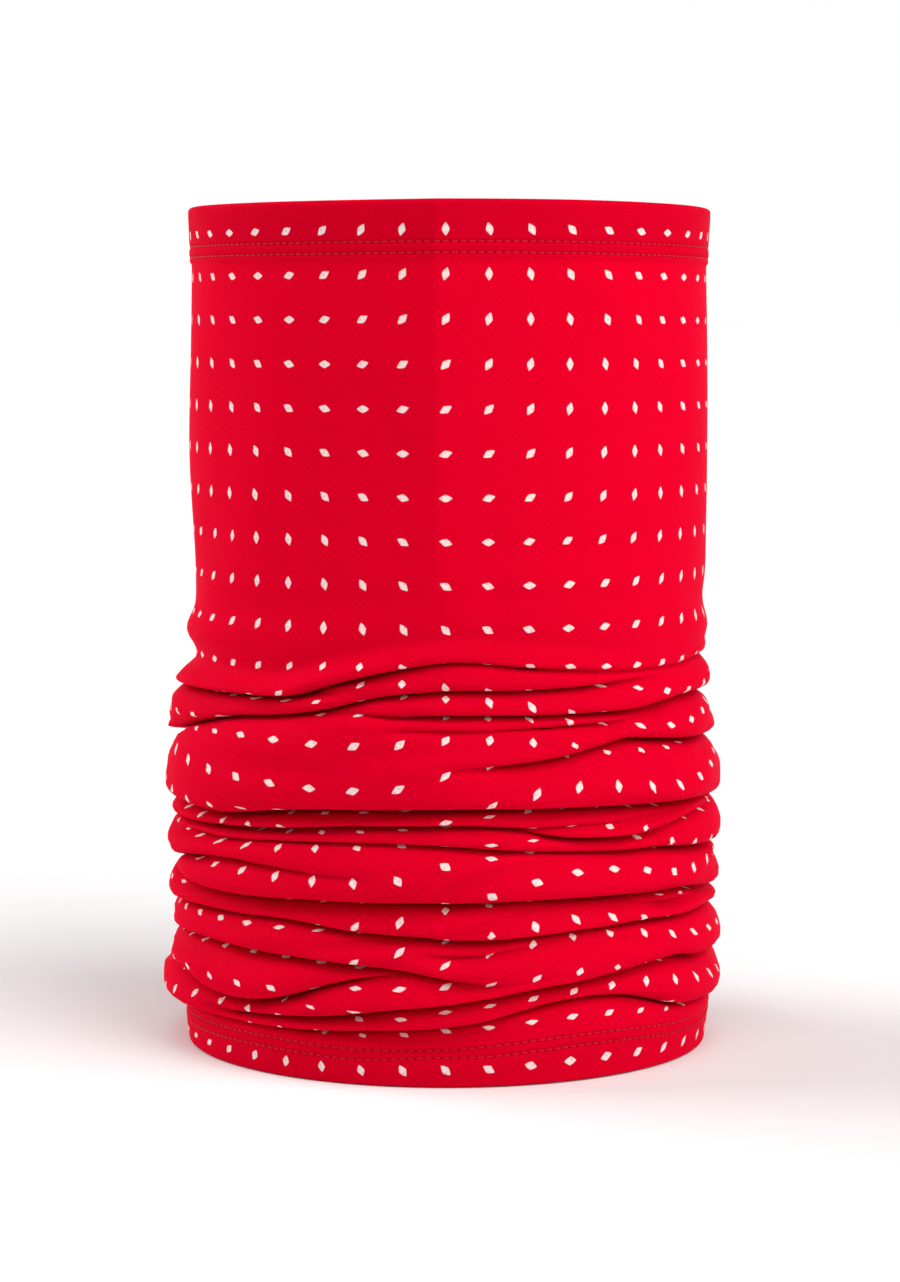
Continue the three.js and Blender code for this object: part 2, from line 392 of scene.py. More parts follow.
@dataclass(frozen=True)
class KnitFinish:
    """Bird-eye polyester knit, printed with a scatter of small lozenges on its right side.

    Attributes:
        name: The material's name.
        lit: Colour of the yarn.
        deep: Colour of the painted shade in eyelets and doubled hems, and of darker random cloudiness.
        printed: Whether the face has the lozenges.
        ink: Colour of the lozenges.
        hole_shade: Colour of the painted shade along rows of stitches, darkest where the needle goes in.
        wale: Half the distance between eyelets across the panel, in millimetres.
        course: Half the distance between eyelets down the panel.
        columns: Lozenges round the tube.
        row_pitch: Distance from one row of lozenges to the next.
        first_row: Distance from the top edge to the first row.
        half_width: Half a lozenge's short axis.
        half_length: Half its long axis.
        turn: How far each lozenge is turned from the one before it, in degrees.
        eyelet_shade: How much painted shade darkens the eyelets, as a share of the deep colour.
        cloud_shade: How dark the faint cloudiness of the cloth is.
        hem_shade: How much painted shade darkens the cloth where it lies double, as two plies let less
            light through.
        hem_edge: Half the width over which that starts, in millimetres.
        sewn_rows: Distances below the top edge at which rows of stitches pierce the panel.
        hems: Distances below the top edge at which the top hem ends and the lower hem starts.
        stitch: Length of those stitches.
    """

    name: str
    lit: tuple[float, float, float] = (0.61, 0.0, 0.0165)
    deep: tuple[float, float, float] = (0.39, 0.0, 0.0085)
    printed: bool = True
    ink: tuple[float, float, float] = (0.80, 0.58, 0.56)
    hole_shade: tuple[float, float, float] = (0.14, 0.0, 0.003)
    wale: float = 1.2
    course: float = 1.06
    columns: int = 40
    row_pitch: float = 12.66
    first_row: float = 8.6
    half_width: float = 1.08
    half_length: float = 1.85
    turn: float = 15.0
    eyelet_shade: float = 0.24
    cloud_shade: float = 0.14
    hem_shade: float = 0.22
    hem_edge: float = 0.6
    sewn_rows: tuple[float, ...] = ()
    hems: tuple[float, float] = (0.0, 1000.0)
    stitch: float = 2.5

    def material(self) -> bpy.types.Material:
        """Makes the material.

        Returns:
            The material, which reads the piece's UV map.
        """
        graph = Graph(self.name)
        panel = graph.signal(graph.node("ShaderNodeUVMap", {"uv_map": "panel"}))
        parts = graph.node("ShaderNodeSeparateXYZ", {}, {"Vector": panel})
        across = graph.signal(parts, "X") / MM
        down = graph.signal(parts, "Y") / -MM
        lattice = (graph.math("COSINE", across * (math.pi / self.wale))
                   * graph.math("COSINE", down * (math.pi / self.course)))
        eyelet = graph.step(lattice, 0.25, 0.85)
        float_stitch = graph.step(lattice, -0.35, -0.9)
        fuzz = graph.noise(panel, 1400.0)
        cloudy = graph.noise(panel, 60.0)
        deep = opaque(self.deep)
        # painted shade: the eyelets are darkened towards the deep colour
        colour = graph.blend(eyelet * self.eyelet_shade, opaque(self.lit), deep)
        colour = graph.blend(cloudy * self.cloud_shade, colour, deep)
        # painted shade where the cloth lies double in the hems
        colour = graph.blend(self.doubled(graph, down) * self.hem_shade, colour, deep)
        # painted shade along each row of stitches, darkest where the needle goes through
        for row in self.sewn_rows:
            row_shade = self.stitch_row_shade(graph, across, down - row)
            colour = graph.blend(row_shade, colour, opaque(self.hole_shade))
        rough = 0.62 + eyelet * 0.2 - float_stitch * 0.22
        if self.printed:
            mark = self.lozenges(graph, across, down)
            # the print is dimmed in the eyelets by the same painted shade
            colour = graph.blend(mark * (1 - eyelet * 0.25), colour, opaque(self.ink))
            rough = rough + mark * 0.1
        relief = float_stitch * 0.35 - eyelet * 0.65 + fuzz * 0.35 + 0.55
        graph.bump(relief, strength=0.36, distance=0.0002)
        return graph.finish(Base_Color=colour, Roughness=rough, IOR=1.45, Specular_IOR_Level=0.005,
                            Subsurface_Weight=0.45, Subsurface_Radius=(1.0, 0.08, 0.12),
                            Subsurface_Scale=0.0033,
                            Sheen_Weight=0.015, Sheen_Roughness=0.35, Sheen_Tint=(1.0, 0.06, 0.1, 1.0))

    def doubled(self, graph: Graph, down: Signal) -> Signal:
        """Where the cloth lies double in a hem.

        Args:
            graph: The material's graph.
            down: Distance below the top edge, in millimetres.

        Returns:
            1 in the hems and 0 between them.
        """
        top_end, bottom_start = self.hems
        edge = self.hem_edge
        return (graph.step(down, top_end + edge, top_end - edge)
                + graph.step(down, bottom_start - edge, bottom_start + edge))

    def stitch_row_shade(self, graph: Graph, across: Signal, off: Signal) -> Signal:
        """Painted shade along one row of stitches, in its pulled-in pit and darkest where the needle goes
        in.

        Args:
            graph: The material's graph.
            across: Distance across the panel from the front, in millimetres.
            off: Distance below the row.

        Returns:
            The share of the painted shade colour.
        """
        beside = graph.step(graph.math("ABSOLUTE", off), 0.75, 0.15)
        hole_shade = graph.step(graph.math("COSINE", across * (2 * math.pi / self.stitch)), 0.1, 0.8)
        return beside * (hole_shade * 0.5 + 0.12)

    def lozenges(self, graph: Graph, across: Signal, down: Signal) -> Signal:
        """Where the print is.

        Args:
            graph: The material's graph.
            across: Distance across the panel from the front, in millimetres.
            down: Distance below the top edge.

        Returns:
            1 inside a lozenge and 0 outside.
        """
        pitch = 2 * math.pi * GatheredTube.wall_radius / self.columns
        column = graph.math("ROUND", across / pitch + 0.1)
        row = graph.math("ROUND", (down - self.first_row) / self.row_pitch)
        right = across - (column - 0.1) * pitch
        up = row * self.row_pitch + self.first_row - down
        angle = (column - row) * math.radians(self.turn) + math.pi / 2
        cosine, sine = graph.math("COSINE", angle), graph.math("SINE", angle)
        along = graph.math("ABSOLUTE", right * cosine + up * sine) / self.half_length
        beside = graph.math("ABSOLUTE", up * cosine - right * sine) / self.half_width
        return graph.step(along ** 1.25 + beside ** 1.25, 1.12, 0.88)


@dataclass(frozen=True)
class ThreadFinish:
    """Textured polyester sewing thread.

    Attributes:
        name: The material's name.
        colour: Colour of the thread.
    """

    name: str = THREAD_MATERIAL
    colour: tuple[float, float, float] = (0.64, 0.0, 0.015)

    def material(self) -> bpy.types.Material:
        """Makes the material, with the thread's fibres in its bump and colour.

        Returns:
            The material, which reads the piece's own coordinates.
        """
        graph = Graph(self.name)
        place = graph.signal(graph.node("ShaderNodeTexCoord"), "Object")
        fibres = graph.noise(place, 3800.0, 3.0)
        darker = tuple(channel * 0.7 for channel in self.colour)
        graph.bump(fibres, strength=0.3, distance=0.00003)
        return graph.finish(Base_Color=graph.blend(fibres, opaque(darker), opaque(self.colour)),
                            Roughness=0.42 + fibres * 0.2, Specular_IOR_Level=0.2)


@dataclass(frozen=True)
class SatinFinish:
    """Woven white satin ribbon.

    Attributes:
        name: The material's name.
        colour: Colour of the ribbon.
        warp: Distance between warp threads, in metres.
        weft: Distance between weft threads.
    """

    name: str = "white_satin_ribbon"
    colour: tuple[float, float, float] = (0.86, 0.85, 0.83)
    warp: float = 0.00035
    weft: float = 0.0006

    def material(self) -> bpy.types.Material:
        """Makes the material, with its warp and weft as fine ribs.

        Returns:
            The material, which reads the piece's own coordinates.
        """
        graph = Graph(self.name)
        place = graph.signal(graph.node("ShaderNodeTexCoord"), "Object")
        parts = graph.node("ShaderNodeSeparateXYZ", {}, {"Vector": place})
        warp = graph.math("SINE", graph.signal(parts, "X") * (2 * math.pi / self.warp))
        weft = graph.math("SINE", graph.signal(parts, "Z") * (2 * math.pi / self.weft))
        ribs = (warp + weft * 0.5) * 0.3 + 0.5
        dull = tuple(channel * 0.9 for channel in self.colour)
        graph.bump(ribs, strength=0.4, distance=0.00006)
        return graph.finish(Base_Color=graph.blend(ribs, opaque(dull), opaque(self.colour)),
                            Roughness=0.34 + ribs * 0.12, Sheen_Weight=0.1)


@dataclass(frozen=True)
class FloorFinish:
    """Plain pale matt floor.

    Attributes:
        name: The material's name.
        colour: Colour of the floor.
    """

    name: str = "pale_floor"
    colour: tuple[float, float, float] = (0.80, 0.80, 0.80)

    def material(self) -> bpy.types.Material:
        """Makes the material, with hardly any gloss.

        Returns:
            The material, which reads the floor's own coordinates.
        """
        graph = Graph(self.name)
        place = graph.signal(graph.node("ShaderNodeTexCoord"), "Object")
        grain = graph.noise(place, 30.0)
        paler = tuple(min(1.0, channel * 1.02) for channel in self.colour)
        return graph.finish(Base_Color=graph.blend(grain, opaque(self.colour), opaque(paler)),
                            Roughness=0.9, Specular_IOR_Level=0.1)


# ---------------------------------------------------------------------------------------------
# The cloth's folds


@dataclass(frozen=True)
class Crease:
    """A crease between two folds, running round the tube.

    Attributes:
        knots: Azimuth in degrees, height and depth in millimetres. Azimuths rise, and they pass
            180 where the crease winds on round the back.
        lip: How far the fold above hangs over the crease, as a share of the usual overhang.
        spread: Width of the valley, as a share of the usual width.
    """

    knots: tuple[tuple[float, float, float], ...]
    lip: float = 1.0
    spread: float = 1.0

    def turns(self, azimuths: np.ndarray) -> list[tuple[np.ndarray, np.ndarray]]:
        """Height and depth of the crease at each azimuth, once for each turn that it makes.

        Args:
            azimuths: Azimuths from -180 to 180 degrees.

        Returns:
            For each turn, the heights and the depths; the depth is 0 past the crease's ends.
        """
        at, height, depth = (np.array(column, float) for column in zip(*self.knots))
        found = []
        for turn in range(-1, 4):
            unwound = azimuths + 360 * turn
            inside = (unwound >= at[0]) & (unwound < at[-1])
            if inside.any():
                deep = np.where(inside, smooth_through(unwound, at, depth), 0.0)
                found.append((smooth_through(unwound, at, height), np.clip(deep, 0.0, None)))
        return found


# Under the first fold, which droops on the left
FIRST_CREASE = Crease(((-180, 113.5, 5), (-150, 113, 5), (-110, 111, 5), (-80, 111.6, 5.2),
                       (-50, 112.6, 6), (-35, 113.6, 6), (-26, 117, 5.5), (-10, 122, 4.2),
                       (0, 123.7, 3.2), (17, 122, 2.4), (39, 120, 1.8), (60, 119.5, 1.5),
                       (75, 120.5, 1.8), (100, 121, 3.5), (140, 116, 5), (180, 113.5, 5)))
CREASES = (
    # the soft drag line above the first fold
    Crease(((-70, 118, 0), (-45, 119, 0.8), (-22, 127, 1.3), (5, 131, 1.3), (32, 127, 1.2),
            (62, 123.5, 0.9), (95, 126, 0.8), (140, 124, 0)), lip=0.0, spread=1.5),
    FIRST_CREASE,
    # starts on the left of the front, winds once round, and ends high on the right
    Crease(((-24, 109.1, 0), (-14, 108.2, 2.2), (0, 108.7, 3.8), (25, 108.3, 4.2), (48, 108.9, 4.6),
            (62, 110.3, 5), (90, 109.5, 5), (130, 106, 4.6), (180, 103, 4.6), (220, 100, 4.4),
            (250, 97, 4.6), (270, 96, 4.6), (290, 101, 4.4), (308, 105.5, 4.4), (325, 107.8, 5),
            (334, 110, 5), (342, 113, 4.6), (355, 115.3, 4), (377, 115.5, 4), (389, 115.8, 3.4),
            (399, 116.6, 2.4), (411, 117, 1), (425, 117, 0))),
    # a shallow pleat in the middle of the front
    Crease(((-16, 104.6, 0), (-2, 104.3, 2.6), (17, 104.3, 3.2), (37, 105.5, 3), (58, 107.2, 0)),
           lip=0.7, spread=0.8),
    # the sharp crease on the right
    Crease(((-2, 93.4, 0), (6, 93.8, 1.4), (13, 94.4, 3.5), (25, 96.5, 5.5), (34, 98.7, 6.2),
            (40, 100, 6.2), (50, 99, 6), (63, 97.3, 6), (90, 96.2, 6), (120, 94, 5.5), (160, 91, 5),
            (200, 90, 4.5), (235, 89, 3), (258, 88, 0))),
    # the long strong crease
    Crease(((-180, 76, 6), (-130, 77, 6), (-95, 78.5, 5.5), (-84, 78, 5.5), (-68, 77.5, 6.4),
            (-54, 77.5, 7), (-40, 79.7, 7.2), (-29, 81.1, 7.6), (0, 82.5, 7.8), (27, 81.6, 7.6),
            (51, 80.1, 7), (73, 78.7, 6.6), (95, 78, 6), (135, 77, 6), (180, 76, 6))),
    # under the thin roll
    Crease(((-165, 69, 0), (-130, 69.5, 4), (-90, 71, 5), (-61, 72.4, 6), (-40, 74.3, 6.6),
            (-20, 76.6, 6.8), (0, 77.2, 6.2), (10, 76.8, 4.6), (25, 76.4, 2.6), (39, 76.2, 2),
            (51, 76.8, 1.6), (66, 77.5, 0))),
    # a pleat that opens to the right under the thin roll
    Crease(((3, 77.2, 0), (10, 76.6, 2.6), (18, 74.6, 4.8), (25, 73, 5.4), (34, 72.2, 5.6),
            (42, 72.1, 5.2), (51, 72.6, 4.4), (66, 74, 2.6), (84, 75, 0))),
    # soft on the left, sharp on the right, and once round into the soft valley on the left
    Crease(((-92, 66.5, 0), (-67, 68.4, 2.2), (-55, 69, 2.8), (-35, 70.4, 3.4), (-10, 71.4, 3.6),
            (0, 71, 3.8), (8, 70, 4.2), (17, 69, 4.8), (29, 68, 5.2), (39, 67.1, 5.6),
            (48, 66.8, 5.8), (59, 65.4, 6), (66, 64.4, 6.2), (90, 63.2, 6), (130, 62, 5.4),
            (170, 61, 5), (205, 60, 5), (240, 58.5, 5), (262, 57, 5), (272, 57.5, 4.8),
            (288, 60.5, 3.2), (307, 63.2, 2.8), (319, 62.8, 2.6), (334, 62, 1.6), (350, 61.5, 0)),
           lip=0.9),
    # winds twice round, from the left of the front down to the ridge in its middle
    Crease(((-90, 56, 0), (-76, 54.8, 3.8), (-66, 53.7, 5.4), (-53, 53.4, 6.8), (-26, 54.6, 7.6),
            (0, 55, 7.8), (17, 55.2, 7.6), (39, 54.4, 7.2), (59, 53.3, 6.4), (75, 50.8, 5.8),
            (95, 50, 5.6), (130, 49, 5.6), (170, 50, 5.6), (210, 48.5, 5.6), (240, 46.8, 5.4),
            (262, 46, 5.2), (275, 46.2, 5.2), (299, 46.8, 5.2), (311, 47.1, 5), (327, 47.4, 5),
            (340, 45.8, 5.4), (350, 45.2, 5.8), (358, 44.2, 6), (368, 44, 6.4), (377, 44.8, 6.8),
            (386, 45.4, 7), (395, 45.7, 7), (405, 45.8, 7), (419, 44.8, 6.6), (430, 44.6, 6.2),
            (450, 44, 6), (490, 42, 5), (530, 40, 4.6), (570, 39, 4.4), (600, 37.5, 4.4),
            (622, 36.7, 4.6), (634, 36.7, 4.8), (647, 37.2, 5.4), (662, 37.7, 5.8),
            (680, 37.2, 6), (691, 37, 6), (702, 36.2, 5.4), (710, 35, 4.6), (720, 32.4, 3),
            (732, 31, 0))),
    # the short tuck at the top of the front ridge
    Crease(((-8, 39.4, 0), (-2, 39.2, 2.6), (7, 39, 3.2), (13, 40.4, 2.6), (25, 42, 0)),
           lip=0.6, spread=0.6),
    # from low on the left, climbing to the right, once round and down into the hammock fold
    Crease(((-62, 18.4, 0), (-53, 18, 3), (-43, 18.8, 4.6), (-31, 20, 5.2), (-18, 22.3, 5.6),
            (-10, 23.9, 5.8), (-2, 25.2, 6), (8, 27.4, 6.4), (17, 29.5, 6.8), (26, 30.8, 7),
            (35, 32, 7.2), (45, 33.1, 7.2), (57, 33, 7.2), (66, 31.2, 6.8), (78, 30.8, 6.4),
            (95, 30.7, 6), (130, 30, 5), (180, 30.5, 4.6), (220, 31, 4.6), (255, 31.5, 4.6),
            (270, 30.8, 4.8), (280, 29, 5.2), (290, 26.6, 5.8), (298, 24, 6.4), (307, 22.8, 6.6),
            (317, 23.2, 6), (325, 25.4, 5.4), (334, 29.3, 4.6), (342, 32, 3), (353, 34, 0))),
    # the small knot of cloth on the right
    Crease(((42, 51.6, 0), (48, 50.6, 2.4), (54, 49.8, 3.4), (60, 49.4, 3), (70, 48.8, 0)),
           lip=0.8, spread=0.5),
)


# The line under the lowest fold, which hangs over the lower hem and lifts to the right of the front.
# Its depths are shares of the usual depth.
POCKET = Crease(((-180, 15.6, 1), (-120, 15.6, 1), (-92, 15.2, 1), (-74, 14.9, 1), (-56, 14.8, 1),
                 (-46, 14.8, 1), (-36, 15.1, 1), (-27, 15.7, 1), (-18, 16.5, 1), (-2, 18, 1),
                 (6, 19.6, 1), (13, 22, 1), (21, 24.2, 1), (30, 25.2, 1), (40, 24.2, 1),
                 (48, 21.6, 1), (57, 18.4, 1), (66, 17.4, 1), (90, 17, 1), (130, 16, 1),
                 (180, 15.6, 1)))
# Height of the lower hem's inner row of stitches, which rises and falls round the tube. Its depths
# aren't used.
HEM_LINE = Crease(((-180, 11.5, 1), (-120, 10.4, 1), (-86, 9.6, 1), (-65, 10.8, 1), (-41, 11.6, 1),
                   (-30, 11.3, 1), (-17, 10.6, 1), (0, 11.3, 1), (8, 12.3, 1), (18, 13.6, 1),
                   (29, 14.3, 1), (41, 14, 1), (54, 12.6, 1), (76, 11.5, 1), (120, 11.6, 1),
                   (180, 11.5, 1)))


# How far the folds stand out: height, then radius on the left and on the right, in millimetres
CRESTS = ((24, 89.2, 85.2), (40, 88.0, 85.1), (53, 88.4, 84.4), (74, 88.6, 85.2), (87, 87.8, 84.6),
          (103, 87.4, 82.4), (113, 86.6, 80.6), (122, 85.0, 79.6))


@dataclass(frozen=True)
class Swell:
    """A soft bulge, or a dent where its height is negative.

    Attributes:
        azimuth: Its middle, in degrees.
        height: Height of its middle, in millimetres.
        half_turn: Half its width round the tube, in degrees.
        half_height: Half its height.
        rise: How far it stands out.
        tilt: How far it climbs for each degree round the tube.
    """

    azimuth: float
    height: float
    half_turn: float
    half_height: float
    rise: float
    tilt: float = 0.0

    def at(self, azimuths: np.ndarray, heights: np.ndarray) -> np.ndarray:
        """How far it pushes the cloth out.

        Args:
            azimuths: Azimuths in degrees.
            heights: Heights in millimetres.

        Returns:
            Radial distances in millimetres.
        """
        turned = (azimuths - self.azimuth + 180) % 360 - 180
        up = heights - self.height - self.tilt * turned
        return self.rise * np.exp(-((turned / self.half_turn) ** 2) - (up / self.half_height) ** 2)


SWELLS = (
    Swell(-90, 128.5, 34, 4.6, 2.7),
    Swell(-90, 178, 42, 34, 1.7),
    Swell(-90, 2, 52, 15, 2.1),
    Swell(88, 129, 30, 4.5, 1.2),
    Swell(88, 138, 28, 5, -0.7),
    Swell(95, 182, 36, 30, 0.6),
    Swell(-21, 196, 16, 56, -1.6),
    Swell(30, 156, 30, 4.5, -0.6, 0.02),
    Swell(34, 147.5, 28, 4, 0.8, 0.02),
    Swell(38, 136.5, 24, 3.2, 0.6, -0.1),
    Swell(10, 143, 5, 5, -1.4, 0.3),
    Swell(36, 228, 10, 9, 1.3, -0.8),
    Swell(53, 205, 9, 26, -0.9, -0.5),
    Swell(-62, 158, 13, 9, -1.1, 0.4),
    Swell(-48, 172, 10, 12, 0.7, 0.5),
    Swell(-35, 139, 24, 5, -0.8, 0.08),
    Swell(20, 184, 12, 14, 0.5, 0.3),
    Swell(150, 150, 20, 12, -0.7, 0.2),
    Swell(-140, 165, 18, 20, 0.8, -0.3),
    Swell(120, 210, 22, 24, -0.6, 0.4),
)


@dataclass(frozen=True)
class Wave:
    """A long shallow wave in the cloth.

    Attributes:
        height: Half its depth, in millimetres.
        turns: Crests counted once round the tube.
        period: Millimetres from crest to crest along the tube.
        phase: Where it starts, in radians.
    """

    height: float
    turns: int
    period: float
    phase: float

    def at(self, azimuths: np.ndarray, along: np.ndarray) -> np.ndarray:
        """The wave's height at each azimuth and each distance along the tube.

        Args:
            azimuths: Azimuths in degrees.
            along: Distances along the tube in millimetres.

        Returns:
            Heights in millimetres.
        """
        angle = self.turns * np.radians(azimuths) + 2 * math.pi * along / self.period
        return self.height * np.sin(angle + self.phase)


BILLOWS = (
    Wave(0.32, 2, 310, 0.4),
    Wave(0.22, 3, -190, 2.1),
    Wave(0.16, 5, 120, 4.0),
    Wave(0.12, 7, -84, 1.2),
    Wave(0.08, 11, 57, 5.3),
)
WRINKLES = (
    Wave(0.50, 2, 19.5, 0.7),
    Wave(0.44, 3, -13.6, 2.9),
    Wave(0.36, 5, 9.4, 4.4),
    Wave(0.24, 6, -6.9, 1.9),
    Wave(0.11, 11, 5.3, 5.6),
)
PATCHES = Wave(0.5, 4, 46, 1.3)


class Side(Enum):
    """Which face of the cloth a thread lies on."""

    OUTSIDE = 1
    INSIDE = -1


@dataclass
class GatheredTube:
    """The knit panel: its smooth wall, its turned hems and its drooping ring folds.

    Attributes:
        cloth: Thickness of the knit.
        wall_radius: Middle of the smooth wall.
        finished_length: Length of the tube when its folds are pulled out.
        slack: Height above the folds in which the wall is soft and needs more rows.
        columns: Points round the tube.
        fold_rows: Points down the folds.
        wall_rows: Points down the taut wall.
        slack_rows: Points down the soft stretch of wall just above the folds.
        bend_weight: Millimetres of cloth that a bend of one radian counts for where rows are shared.
        fine_step: Spacing at which the folds are worked out before they are sampled.
        print_reach: Columns on either side over which the print is evened out in the folds.
        print_spread: Columns after which a neighbour counts for a third.
        lip_height: Height above a crease at which the fold over it hangs furthest.
        lip_drop: How far it hangs.
        valley_above: How far above a crease its valley reaches.
        valley_below: How far below.
        above_power: How squarely the valley's upper side falls off; 2 is a bell curve.
        below_power: The same for its lower side.
        usual_depth: Depth of a crease that hangs and tucks by the usual amounts.
        tuck_range: Shallowest and deepest tuck that is tried.
        free_height: Height above the lower hem at which the folds are free to move.
        tuck_width: Half the width of the pleat that is tucked in at a crease.
        tuck_rise: Height of the pleat's middle above the crease's line.
        ply_follows: Share of the overhang that the pleat's lower ply follows, to stay under it.
        ply_reach: How far from the pleat's middle the lower ply still follows.
        packing_fold: Azimuth of the sharp line that the tube keeps from lying flat in its packet.
        hem_gap: Extra width of the bend over the top edge.
        hem_turn: Radius of the bend under the bottom edge.
        ply_gap: Space between the two plies of a hem.
        floor_gap: Room under the bottom edge for the cloth to rest on what it stands on.
        row_pit: How far a row of stitches pulls the cloth in.
        stitch: Usual length of a stitch.
        seam_inset: Where the back seam's stitches start below the top edge.
        seam_foot: Height at which they end above the bottom edge.
    """

    cloth: float = 0.7
    wall_radius: float = 78.1
    finished_length: float = 431.7
    slack: float = 36.0
    columns: int = 180
    fold_rows: int = 168
    wall_rows: int = 12
    slack_rows: int = 17
    bend_weight: float = 1.3
    fine_step: float = 0.05
    print_reach: int = 16
    print_spread: float = 8.5
    lip_height: float = 1.8
    lip_drop: float = 1.3
    valley_above: float = 1.7
    valley_below: float = 4.8
    above_power: float = 1.7
    below_power: float = 1.25
    usual_depth: float = 6.5
    tuck_range: tuple[float, float] = (1.0, 14.0)
    free_height: float = 3.0
    tuck_width: float = 0.95
    tuck_rise: float = 0.4
    ply_follows: float = 0.55
    ply_reach: float = 2.2
    packing_fold: float = -3.0
    hem_gap: float = 0.9
    hem_turn: float = 0.9
    ply_gap: float = 0.1
    floor_gap: float = 0.12
    row_pit: float = 0.42
    stitch: float = 2.5
    seam_inset: float = 2.0
    seam_foot: float = 1.7

    def __post_init__(self) -> None:
        """Takes the heights that the frame fixes."""
        self.top = top_of("upper_panel")
        self.top_rows = (middle_of("top_hem_edge_needle_thread"),
                         middle_of("top_hem_inner_needle_thread"))
        self.bottom_rows = (middle_of("bottom_hem_edge_needle_thread"),
                            middle_of("bottom_hem_inner_needle_thread"))
        self.folds_top = bottom_of("upper_panel") + 8
        self.hem_top = self.bottom_rows[1] + 1.4
        self.fixed_end = self.hem_top + self.free_height
        self.free_end = bottom_of("upper_panel") - 1
        self.gathered_length = self.finished_length - (self.top - self.folds_top) - self.hem_top
        self.measured_at = np.arange(-180.0, 181.0, 4.0)
        self.tucks = self.tuck_depths(self.measured_at)

    def azimuths(self) -> np.ndarray:
        """The columns' azimuths, closer together beside the back seam and the packing fold.

        Returns:
            Rising azimuths in degrees, from -180 up to but not 180.
        """
        seam = np.array([0.0, 0.25, 0.7, 1.3, 2.0, 2.9])
        fold = self.packing_fold + np.array([-0.8, -0.25, 0.25, 0.8])
        even = np.linspace(-176, 176, self.columns - 2 * len(seam) + 1)
        even = even[np.abs(even - self.packing_fold) > 0.9]
        return np.sort(np.concatenate([seam - 180, even, fold, 180 - seam[:0:-1]]))

    def billow(self, azimuths: np.ndarray, heights: np.ndarray) -> np.ndarray:
        """How far the cloth's long waves and its packing fold push the tube out.

        Args:
            azimuths: Azimuths in degrees.
            heights: Heights in millimetres.

        Returns:
            Radial distances in millimetres.
        """
        waves = sum(wave.at(azimuths, heights) for wave in BILLOWS) * ramp(heights, 0, 12)
        soft = sum(swell.at(azimuths, heights) for swell in SWELLS)
        waist = -0.4 * np.exp(-(((heights - 160) / 26) ** 2))
        beside_fold = np.radians(np.abs(azimuths - self.packing_fold)) * self.wall_radius
        fold_line = 2.4 * np.exp(-beside_fold / 11) * ramp(heights, 132, 165)
        beside_seam = 180 - np.abs(azimuths)
        seam = 0.3 * np.exp(-(beside_seam / 2.2) ** 4)
        groove = -0.35 * np.exp(-(beside_seam / 0.35) ** 2)
        return waves + soft + waist + fold_line + seam + groove

    def crest(self, azimuths: np.ndarray, heights: np.ndarray) -> np.ndarray:
        """Radius of the cloth where only the lowest crease shapes it.

        Args:
            azimuths: Azimuths in degrees, one row for each.
            heights: Heights in millimetres.

        Returns:
            Radii in millimetres.
        """
        right = np.sin(np.radians(azimuths))
        at, on_left, on_right = (np.array(column, float) for column in zip(*CRESTS))
        middle = np.interp(heights, at, (on_left + on_right) / 2)
        lean = np.interp(heights, at, (on_left - on_right) / 2)
        full = middle - lean * right - self.cloth / 2
        first = FIRST_CREASE.turns(azimuths[:, 0])[0][0][:, None]
        gathered = ramp(heights - first, 9.5, 0.5) ** 1.4
        pocket = POCKET.turns(azimuths[:, 0])[0][0][:, None]
        over = np.clip(heights - pocket, 0, None)
        hanging = 1 - np.exp(-((over / self.valley_above) ** self.above_power))
        plain = np.where(heights < 60, self.hem_radius(azimuths, heights), self.wall_radius)
        return plain + (full - plain) * gathered * hanging + self.billow(azimuths, heights)

    def hem_radius(self, azimuths: np.ndarray, heights: np.ndarray) -> np.ndarray:
        """Middle radius of the lower hem's outer ply, which leans out towards its top.

        Args:
            azimuths: Azimuths in degrees.
            heights: Heights in millimetres.

        Returns:
            Radii in millimetres.
        """
        curl = self.hem_curl(azimuths) * ramp(heights, 5, self.hem_top)
        return self.wall_radius + 0.8 + 1.9 * ramp(heights, 0, 14) - curl

    def hem_curl(self, azimuths: np.ndarray) -> np.ndarray:
        """How far the lower hem's top rolls inwards, which it does left of the front.

        Args:
            azimuths: Azimuths in degrees.

        Returns:
            Radial distances in millimetres.
        """
        return 2.6 * np.exp(-(((azimuths + 5) / 17) ** 2))

    def hem_height(self, azimuths: np.ndarray, heights: np.ndarray) -> np.ndarray:
        """Where a height on the lower hem comes to once its rows rise and fall.

        Args:
            azimuths: Azimuths in degrees.
            heights: Heights on a level hem, in millimetres.

        Returns:
            Heights in millimetres.
        """
        edge_row, inner_row = self.bottom_rows
        line = HEM_LINE.turns(azimuths.ravel())[0][0].reshape(azimuths.shape)
        lower = line - np.sqrt((inner_row - edge_row) ** 2 - self.hem_curl(azimuths) ** 2)
        below = heights * lower / edge_row
        between = lower + (heights - edge_row) * (line - lower) / (inner_row - edge_row)
        above = line + heights - inner_row
        return np.where(heights < edge_row, below, np.where(heights < inner_row, between, above))

    def tuck_depths(self, azimuths: np.ndarray) -> np.ndarray:
        """How deep the creases are tucked so that each azimuth holds the same length of cloth.

        Args:
            azimuths: Azimuths in degrees, from -180 to 180.

        Returns:
            The depth of a usual crease's tuck at each azimuth, in millimetres.
        """
        shallow, deep = (np.full(len(azimuths), limit) for limit in self.tuck_range)
        for _ in range(12):
            depth = (shallow + deep) / 2
            radius, height = self.folded(azimuths, depth)
            length = np.hypot(np.diff(radius, axis=1), np.diff(height, axis=1)).sum(axis=1)
            deep = np.where(length > self.gathered_length, depth, deep)
            shallow = np.where(length > self.gathered_length, shallow, depth)
        depth[-1] = depth[0]
        ring = np.concatenate([depth[-4:-1], depth, depth[1:4]])
        return np.convolve(ring, np.ones(7) / 7, mode="valid")

